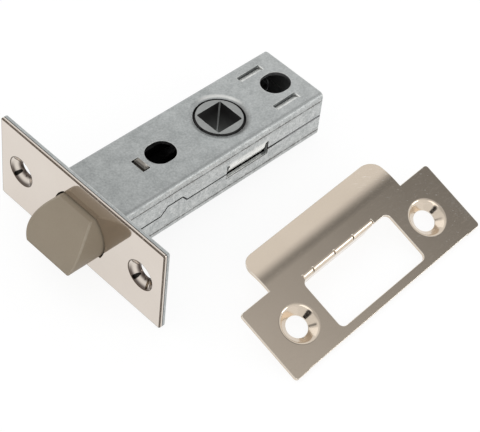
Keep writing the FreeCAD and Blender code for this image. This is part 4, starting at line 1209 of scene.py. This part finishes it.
# Dark things in the studio that the polished sinks reflect: direction, angles in degrees from
# its middle to where it fades in and out, and how much light is left.
DARK_PATCHES = [
    ((-0.885, -0.36, 0.285), 10.0, 15.0, 0.03),
    ((-0.62, 0.55, 0.56), 4.0, 8.0, 0.30),
]

# Lamps: name, place, width and watts. They all face the latch.
LAMP_AIM = Vector((0.03, -0.02, 0))
LAMPS = [
    ("front_right", (-0.30, -0.60, 0.50), 0.5, 0.7),
    ("back_left", (-0.10, 0.70, 0.60), 0.6, 0.4),
    ("low_right", (0.45, -0.65, 0.26), 0.22, 0.5),
]


def light_world():
    """Even white light, with a dim part of the ceiling for polished metal to reflect."""
    world = bpy.data.worlds.new("studio")
    bpy.context.scene.world = world
    world.use_nodes = True
    tree = world.node_tree
    sky = tree.nodes["Background"]
    direction = tree.nodes.new("ShaderNodeTexCoord").outputs["Generated"]
    split = tree.nodes.new("ShaderNodeSeparateXYZ")
    tree.links.new(direction, split.inputs["Vector"])
    way = split.outputs
    fall = calculate(
        tree, "ADD", multiply(tree, way["X"], CEILING_FALL_ALONG),
        multiply(tree, way["Y"], CEILING_FALL_ACROSS),
    )
    panel = calculate(tree, "SUBTRACT", CEILING_LIGHT, fall)
    panel = calculate(tree, "MAXIMUM", panel, CEILING_DIMMEST)
    panel = calculate(tree, "MINIMUM", panel, CEILING_BRIGHTEST)
    high = map_range(tree, way["Z"], *CEILING_HEIGHTS, smooth=True)
    near = map_range(tree, way["Y"], *CEILING_SIDES, low=1.0, high=0.0, smooth=True)
    ceiling = tree.nodes.new("ShaderNodeMix")
    tree.links.new(multiply(tree, high, near), ceiling.inputs["Factor"])
    ceiling.inputs["A"].default_value = SKY_LIGHT
    tree.links.new(panel, ceiling.inputs["B"])
    strength = ceiling.outputs["Result"]
    for middle, inner, outer, shade in DARK_PATCHES:
        toward = tree.nodes.new("ShaderNodeVectorMath")
        toward.operation = "DOT_PRODUCT"
        tree.links.new(direction, toward.inputs[0])
        toward.inputs[1].default_value = Vector(middle).normalized()
        open_sky = map_range(
            tree, toward.outputs["Value"], math.cos(math.radians(outer)),
            math.cos(math.radians(inner)), low=1.0, high=shade, smooth=True,
        )
        strength = multiply(tree, strength, open_sky)
    path = tree.nodes.new("ShaderNodeLightPath")
    seen = tree.nodes.new("ShaderNodeMix")
    tree.links.new(path.outputs["Is Camera Ray"], seen.inputs["Factor"])
    tree.links.new(strength, seen.inputs["A"])
    seen.inputs["B"].default_value = SEEN_LIGHT
    tree.links.new(seen.outputs["Result"], sky.inputs["Strength"])
    sky.inputs["Color"].default_value = WHITE


def add_lamp(name, place, width, watts):
    """A soft square lamp that faces the latch."""
    light = bpy.data.lights.new(name, "AREA")
    light.size = width
    light.energy = watts
    lamp = bpy.data.objects.new(name, light)
    bpy.context.scene.collection.objects.link(lamp)
    lamp.location = place
    lamp.rotation_mode = "QUATERNION"
    lamp.rotation_quaternion = (LAMP_AIM - Vector(place)).to_track_quat("-Z", "Y")


def place_camera():
    """The camera, from the directions that are right and down in its picture."""
    camera = bpy.data.objects.new("camera", bpy.data.cameras.new("camera"))
    bpy.context.scene.collection.objects.link(camera)
    forward = CAMERA_RIGHT.cross(CAMERA_DOWN)
    turn = Matrix((CAMERA_RIGHT, -CAMERA_DOWN, -forward)).transposed()
    camera.matrix_world = Matrix.Translation(CAMERA_PLACE) @ turn.to_4x4()
    camera.data.lens = CAMERA_LENS
    camera.data.sensor_width = 36.0
    camera.data.clip_start = 0.01
    camera.data.clip_end = 20.0
    bpy.context.scene.camera = camera


lay_floor()
light_world()
for lamp_values in LAMPS:
    add_lamp(*lamp_values)
place_camera()
bpy.context.scene.view_settings.view_transform = "Standard"
